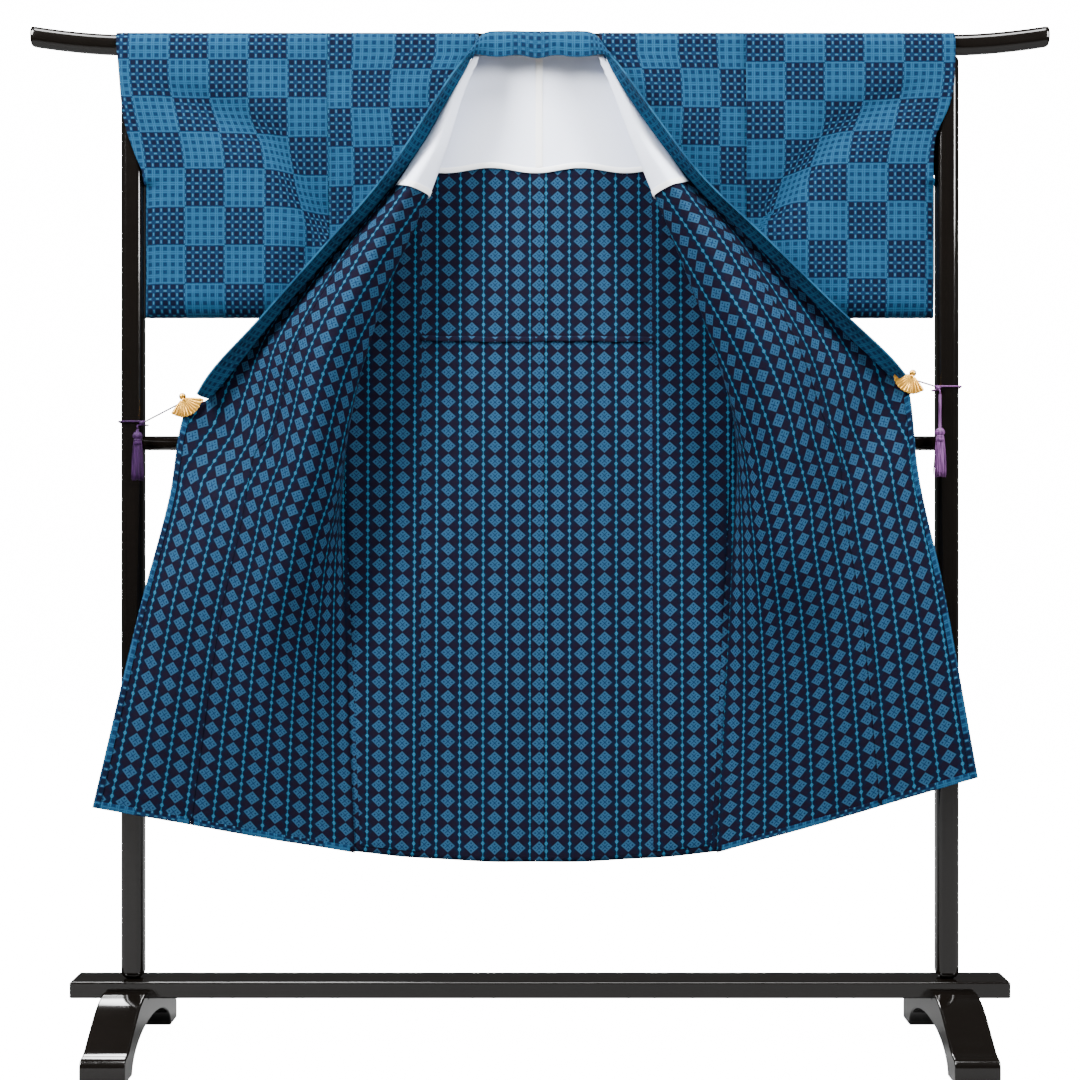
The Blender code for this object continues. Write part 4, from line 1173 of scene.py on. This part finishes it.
def build_feet():
    """Each foot is a bridge-shaped board, notched at its top for the base beam."""
    half = BEAM_DEPTH / 2 + GAP
    slope, _ = rounded_path([(52, 105), (84, 97), (112, 84), (146, 63), (177, 44), (196, 39),
                             (203, 34), (FOOT_HALF_LENGTH, 26)], 36)
    top = [(half, BEAM_LOW - GAP), (half, 105)] + [tuple(p) for p in slope]
    top += [(FOOT_HALF_LENGTH, 5), (204, 2), (201, 0)]
    arch = [(FOOT_ARCH_HALF * math.cos(a), FOOT_ARCH_HIGH * math.sin(a))
            for a in np.linspace(0, math.pi / 2, 25)]
    right = top + arch
    outline = right + [(-y, z) for y, z in right[-2::-1]]
    for side in (LEFT, RIGHT):
        shape = bmesh.new()
        near = [shape.verts.new((side * FOOT_OUT - FOOT_WIDTH / 2, y, z)) for y, z in outline]
        face = shape.faces.new(near)
        pushed = bmesh.ops.extrude_face_region(shape, geom=[face])
        bmesh.ops.translate(shape, vec=(FOOT_WIDTH, 0, 0),
                            verts=[g for g in pushed["geom"] if isinstance(g, bmesh.types.BMVert)])
        bmesh.ops.recalc_face_normals(shape, faces=shape.faces)
        name = f"foot_board_{NAMES[side]}"
        piece = add_piece(name, made_mesh(name, shape), (LACQUER,), "lacquer",
                          f"foot_{NAMES[side]}")
        soften_edges(piece, 3.2, 5, harden=True)


def build_stand():
    build_rod()
    build_feet()
    half = POST_SIZE / 2
    for side in (LEFT, RIGHT):
        x = side * POST_OUT
        rounded_block(f"upright_{NAMES[side]}", (x - half, -half, BEAM_HIGH + 0.3),
                      (x + half, half, ROD_CENTRE_Z - ROD_HEIGHT / 2 - 0.3), 12,
                      f"post_{NAMES[side]}")
    rounded_block("floor_beam", (-BEAM_HALF_LENGTH, -BEAM_DEPTH / 2, BEAM_LOW),
                  (BEAM_HALF_LENGTH, BEAM_DEPTH / 2, BEAM_HIGH), 3, "base_beam")
    end = POST_OUT - half - 0.3
    rings = [[Vector((x, RAIL_RADIUS * math.cos(a), RAIL_Z + RAIL_RADIUS * math.sin(a)))
              for a in np.linspace(0, 2 * math.pi, 48, endpoint=False)] for x in (-end, 0, end)]
    add_piece("cross_rail", made_mesh("cross_rail", closed_loft(rings)), (LACQUER,), "lacquer",
              "mid_rail")


# The clips, their strings and the tassels

FAN_RADIUS, FAN_NECK = 32, 5
FAN_SPREAD, FAN_TILT = math.radians(62), math.radians(26)
FAN_RIBS, FAN_THICK = 11, 2.0
FAN_HIGH_Z = {LEFT: 1079, RIGHT: 1117}
FAN_OUT = {LEFT: 582, RIGHT: 607}
JAW_HALF_SPACE = 4.6
PIN_RADIUS = 3.2
STRING_RADIUS = 1.4
STRING_Z = {LEFT: 1043, RIGHT: 1101}
TASSEL_OUT = {LEFT: 662, RIGHT: 658}
TASSEL_CORD = {LEFT: 4, RIGHT: 56}
TASSEL_LENGTH, TASSEL_FORE = 78, 14.5


def clip_frame(side):
    """The middle of a clip's mouth, its way outwards in plan and its way forward."""
    along = 782 + WRAP_EXTRA
    width = seam_across(782)
    edge, inner = front_line(side, along, [width, width - 24])
    outward = Vector((edge.x - inner.x, edge.y - inner.y, 0)).normalized()
    forward = Vector((outward.y, -outward.x, 0))
    if forward.y > 0:
        forward = -forward
    middle = (edge + inner) / 2
    reach = side * FAN_OUT[side] - middle.x
    top = middle + outward * (reach / outward.x)
    return Vector((top.x, top.y, FAN_HIGH_Z[side])), outward, forward


def ball(name, middle, radii, material, slot):
    shape = bmesh.new()
    bmesh.ops.create_uvsphere(shape, u_segments=24, v_segments=14, radius=1)
    for vert in shape.verts:
        vert.co = middle + Vector([vert.co[i] * radii[i] for i in range(3)])
    return add_piece(name, made_mesh(name, shape), (material,), slot)


def build_clips():
    """A fan of fine ribs on each side of the cloth, with a knob where they pivot."""
    for side in (LEFT, RIGHT):
        top, outward, forward = clip_frame(side)
        name = NAMES[side]
        for part, sign, node in (("fan", 1, "clip"), ("fan_jaw", -1, "clip_jaw")):
            rows = []
            for radius in (FAN_NECK, 6.5, 9, 13, 18, 23, 27, 29.5, 31, FAN_RADIUS):
                row = []
                for i in range(10 * FAN_RIBS + 1):
                    share = i / (10 * FAN_RIBS)
                    angle = FAN_SPREAD * (2 * share - 1) - FAN_TILT
                    rib = abs(math.sin(math.pi * share * FAN_RIBS))
                    near_edge = eased(27, FAN_RADIUS, radius)
                    lift = (0.3 + 2.3 * rib) * min(radius / 20, 1) * (1 - 0.35 * near_edge)
                    reach = radius * (1 - 0.045 * near_edge * (1 - rib))
                    space = JAW_HALF_SPACE + FAN_THICK / 2 + lift * (0.55 if sign > 0 else 0.4)
                    row.append(top + outward * reach * math.sin(angle)
                               - Vector((0, 0, reach * math.cos(angle))) + forward * sign * space)
                rows.append(row)
            cut = [[(j, i) for j in range(len(rows[0]))] for i in range(len(rows))]
            add_cloth(f"{part}_{name}", rows, cut, (GOLD,), 1.6, "gold", f"{node}_{name}")
        away = outward * math.sin(FAN_TILT) + Vector((0, 0, math.cos(FAN_TILT)))
        knob = top + forward * 1.0 + away * 2.5
        ball(f"fan_knob_{name}", knob, (5.8, 5.2, 5.8), GOLD, "gold")
        rivet = top + forward * (JAW_HALF_SPACE + 1.6) - away * 4
        ball(f"fan_rivet_{name}", rivet, (3.0, 2.0, 3.0), GOLD, "gold")


def string_route(side):
    """From the clip's pin to the post, once round it, and down to the knot above the tassel."""
    top, outward, _ = clip_frame(side)
    pin = top - Vector((0, 0, FAN_NECK + PIN_RADIUS + 1))
    z = STRING_Z[side]
    away = POST_SIZE / 2 + 2.6
    inner, outer = POST_OUT - away, POST_OUT + away
    corner = 6
    round_post = [
        (inner + corner, -away - 0.2, z), (POST_OUT, -away - 0.2, z), (outer - corner, -away, z),
        (outer, -away + corner, z), (outer, 0, z - 1), (outer, away - corner, z - 1.5),
        (outer - corner, away, z - 2), (POST_OUT, away, z - 3), (inner + corner, away, z - 4),
        (inner, away - corner, z - 4.4), (inner, 0, z - 5), (inner, -away + corner, z - 5.5),
    ]
    start = pin + outward * (PIN_RADIUS + 2.3)
    arrive = Vector((side * (inner - 4), -away - 2, z))
    lead = [start.lerp(arrive, share) for share in (0, 0.25, 0.5, 0.75, 0.92, 1)]
    route = lead + [Vector((side * x, y, h)) for x, y, h in round_post]
    end = Vector((side * TASSEL_OUT[side], -POST_SIZE / 2 - TASSEL_FORE, z - 13))
    route += [Vector((side * (inner + 3), -away - 1, z - 5.8)), end + Vector((0, 0, 5)), end]
    points, _ = rounded_path(route, 420)
    return [Vector(p) for p in points], end


def tube_rings(points, radius_at, sides):
    """Rings round a path, each turned no more than the path turns."""
    rings = []
    across = Vector((0, 0, 1))
    for i, point in enumerate(points):
        way = (points[min(i + 1, len(points) - 1)] - points[max(i - 1, 0)]).normalized()
        across = (across - way * across.dot(way)).normalized()
        other = way.cross(across)
        rings.append([point + (across * math.cos(a) + other * math.sin(a)) * radius_at(i, a)
                      for a in np.linspace(0, 2 * math.pi, sides, endpoint=False)])
    return rings


def build_strings():
    for side in (LEFT, RIGHT):
        points, _ = string_route(side)

        def twisted(i, angle):
            return STRING_RADIUS * (0.82 + 0.18 * abs(math.cos(angle - i * 0.55)))

        name = f"cord_{NAMES[side]}"
        add_piece(name, made_mesh(name, closed_loft(tube_rings(points, twisted, 12))),
                  (SILK[side],), "tassel", f"string_{NAMES[side]}")
        knot = Vector((side * (POST_OUT - POST_SIZE / 2), -POST_SIZE / 2 - 4, STRING_Z[side] - 2.5))
        ball(f"cord_knot_{NAMES[side]}", knot, (4.2, 3.4, 3.6), SILK[side], "tassel")


TASSEL_STRANDS = 125
Ring = namedtuple("Ring", "radius below")
TASSEL_HEAD = (Ring(2.2, -0.4), Ring(4.2, 0.9), Ring(6.2, 2.4), Ring(7.4, 5), Ring(7.7, 7.5),
               Ring(7.2, 9.8), Ring(6.1, 11.2), Ring(5.6, 12), Ring(6.3, 12.8), Ring(6.4, 14.2),
               Ring(5.9, 15.2), Ring(6.6, 17), Ring(6.8, 22))


def build_tassels():
    """A bound head, ribbed by its threads, over a skirt of loose strands."""
    for side in (LEFT, RIGHT):
        _, hang = string_route(side)
        top_z = hang.z - 0.8
        head_z = top_z - TASSEL_CORD[side]
        profile = [(2.0, top_z), (2.1, (top_z + head_z) / 2)]
        profile += [(ring.radius, head_z - ring.below) for ring in TASSEL_HEAD]
        rings = []
        for radius, z in profile:
            ribs = 0.045 if radius > 4 else 0.09
            rings.append([Vector((hang.x + radius * (1 + ribs * math.sin(22 * a)) * math.cos(a),
                                  hang.y + radius * (1 + ribs * math.sin(22 * a)) * math.sin(a), z))
                          for a in np.linspace(0, 2 * math.pi, 132, endpoint=False)])
        shape = closed_loft(rings)
        for i in range(TASSEL_STRANDS):
            turn = i * 2.39996
            share = math.sqrt((i + 0.5) / TASSEL_STRANDS)
            wide = Vector((math.cos(turn) * share, math.sin(turn) * share, 0))
            low = head_z - TASSEL_LENGTH + 3.2 * math.sin(3.7 * i) * (0.5 + share / 2)
            start_z = head_z - 14
            line = []
            for j, t in enumerate(np.linspace(0, 1, 9)):
                swell = 5.4 + 4.6 * t**0.75 + 0.7 * math.sin(2.1 * i + 3 * t)
                x = hang.x + wide.x * swell + 0.6 * t * math.sin(1.3 * i)
                y = hang.y + wide.y * swell * 0.85 + 0.5 * t * math.cos(1.7 * i)
                line.append(Vector((x, y, start_z + (low - start_z) * t)))
            rings = tube_rings(line, lambda j, a: 0.82 if j < 8 else 0.5, 4)
            made = [[shape.verts.new(p) for p in ring] for ring in rings]
            for a, b in zip(made, made[1:]):
                for k in range(4):
                    shape.faces.new((a[k], a[(k + 1) % 4], b[(k + 1) % 4], b[k]))
            shape.faces.new(made[0][::-1])
            shape.faces.new(made[-1])
        bmesh.ops.recalc_face_normals(shape, faces=shape.faces)
        name = f"silk_tassel_{NAMES[side]}"
        add_piece(name, made_mesh(name, shape), (SILK[side],), "tassel", f"tassel_{NAMES[side]}")


build_stand()
build_clips()
build_strings()
build_tassels()
for side in (LEFT, RIGHT):
    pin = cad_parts[f"clip_pin_{NAMES[side]}"]
    pin.material_slots[0].material = GOLD


# The floor, the backdrop and the light


STAGE_HALF, STAGE_BACK, STAGE_BEND, STAGE_HIGH = 16.0, 12.0, 2.0, 12.0


def build_stage():
    pale = Finish("pale_paper", 0.9)
    pale.set("Base Color", (0.2, 0.2, 0.2))
    seen = pale.node("ShaderNodeLightPath")
    pale.set("Emission Color", pale.mixed(seen, (0, 0, 0), (1, 1, 1)))
    pale.set("Emission Strength", 16.0)
    profile = [(-STAGE_HALF, 0.0), (STAGE_BACK, 0.0)]
    profile += [(STAGE_BACK + STAGE_BEND * math.sin(a), STAGE_BEND * (1 - math.cos(a)))
                for a in np.linspace(0, math.pi / 2, 17)[1:]]
    profile += [(STAGE_BACK + STAGE_BEND, STAGE_HIGH)]
    shape = bmesh.new()
    rows = [[shape.verts.new((x, y, z - 0.0005)) for y, z in profile]
            for x in (-STAGE_HALF, STAGE_HALF)]
    for j in range(len(profile) - 1):
        shape.faces.new((rows[0][j], rows[1][j], rows[1][j + 1], rows[0][j + 1]))
    mesh = bpy.data.meshes.new("backdrop")
    shape.to_mesh(mesh)
    shape.free()
    mesh.shade_smooth()
    mesh.materials.append(pale.material)
    floor = bpy.data.objects.new("backdrop", mesh)
    bpy.context.scene.collection.objects.link(floor)


Lamp = namedtuple("Lamp", "name place aim size power")
LAMPS = (
    Lamp("key", (-2.7, -2.3, 3.4), (0, 0, 1.1), (1.0, 1.8), 560),
    Lamp("fill", (2.9, -2.6, 2.8), (0, 0, 1.0), (0.9, 1.8), 330),
    Lamp("overhead", (0, -1.1, 4.0), (0, 0, 0.7), (3.0, 1.0), 260),
    Lamp("behind", (-1.4, 3.8, 4.3), (0, 0, 1.0), (1.6, 1.6), 330),
)


def add_lamp(lamp):
    light = bpy.data.lights.new(lamp.name, "AREA")
    light.shape = "RECTANGLE"
    light.size, light.size_y = lamp.size
    light.energy = lamp.power
    item = bpy.data.objects.new(lamp.name, light)
    item.location = lamp.place
    way = Vector(lamp.aim) - Vector(lamp.place)
    item.rotation_euler = way.to_track_quat("-Z", "Y").to_euler()
    bpy.context.scene.collection.objects.link(item)


build_stage()
for lamp in LAMPS:
    add_lamp(lamp)
sky = bpy.data.worlds.new("studio")
sky.use_nodes = True
sky.node_tree.nodes["Background"].inputs["Color"].default_value = (1, 1, 1, 1)
sky.node_tree.nodes["Background"].inputs["Strength"].default_value = 0.08
bpy.context.scene.world = sky
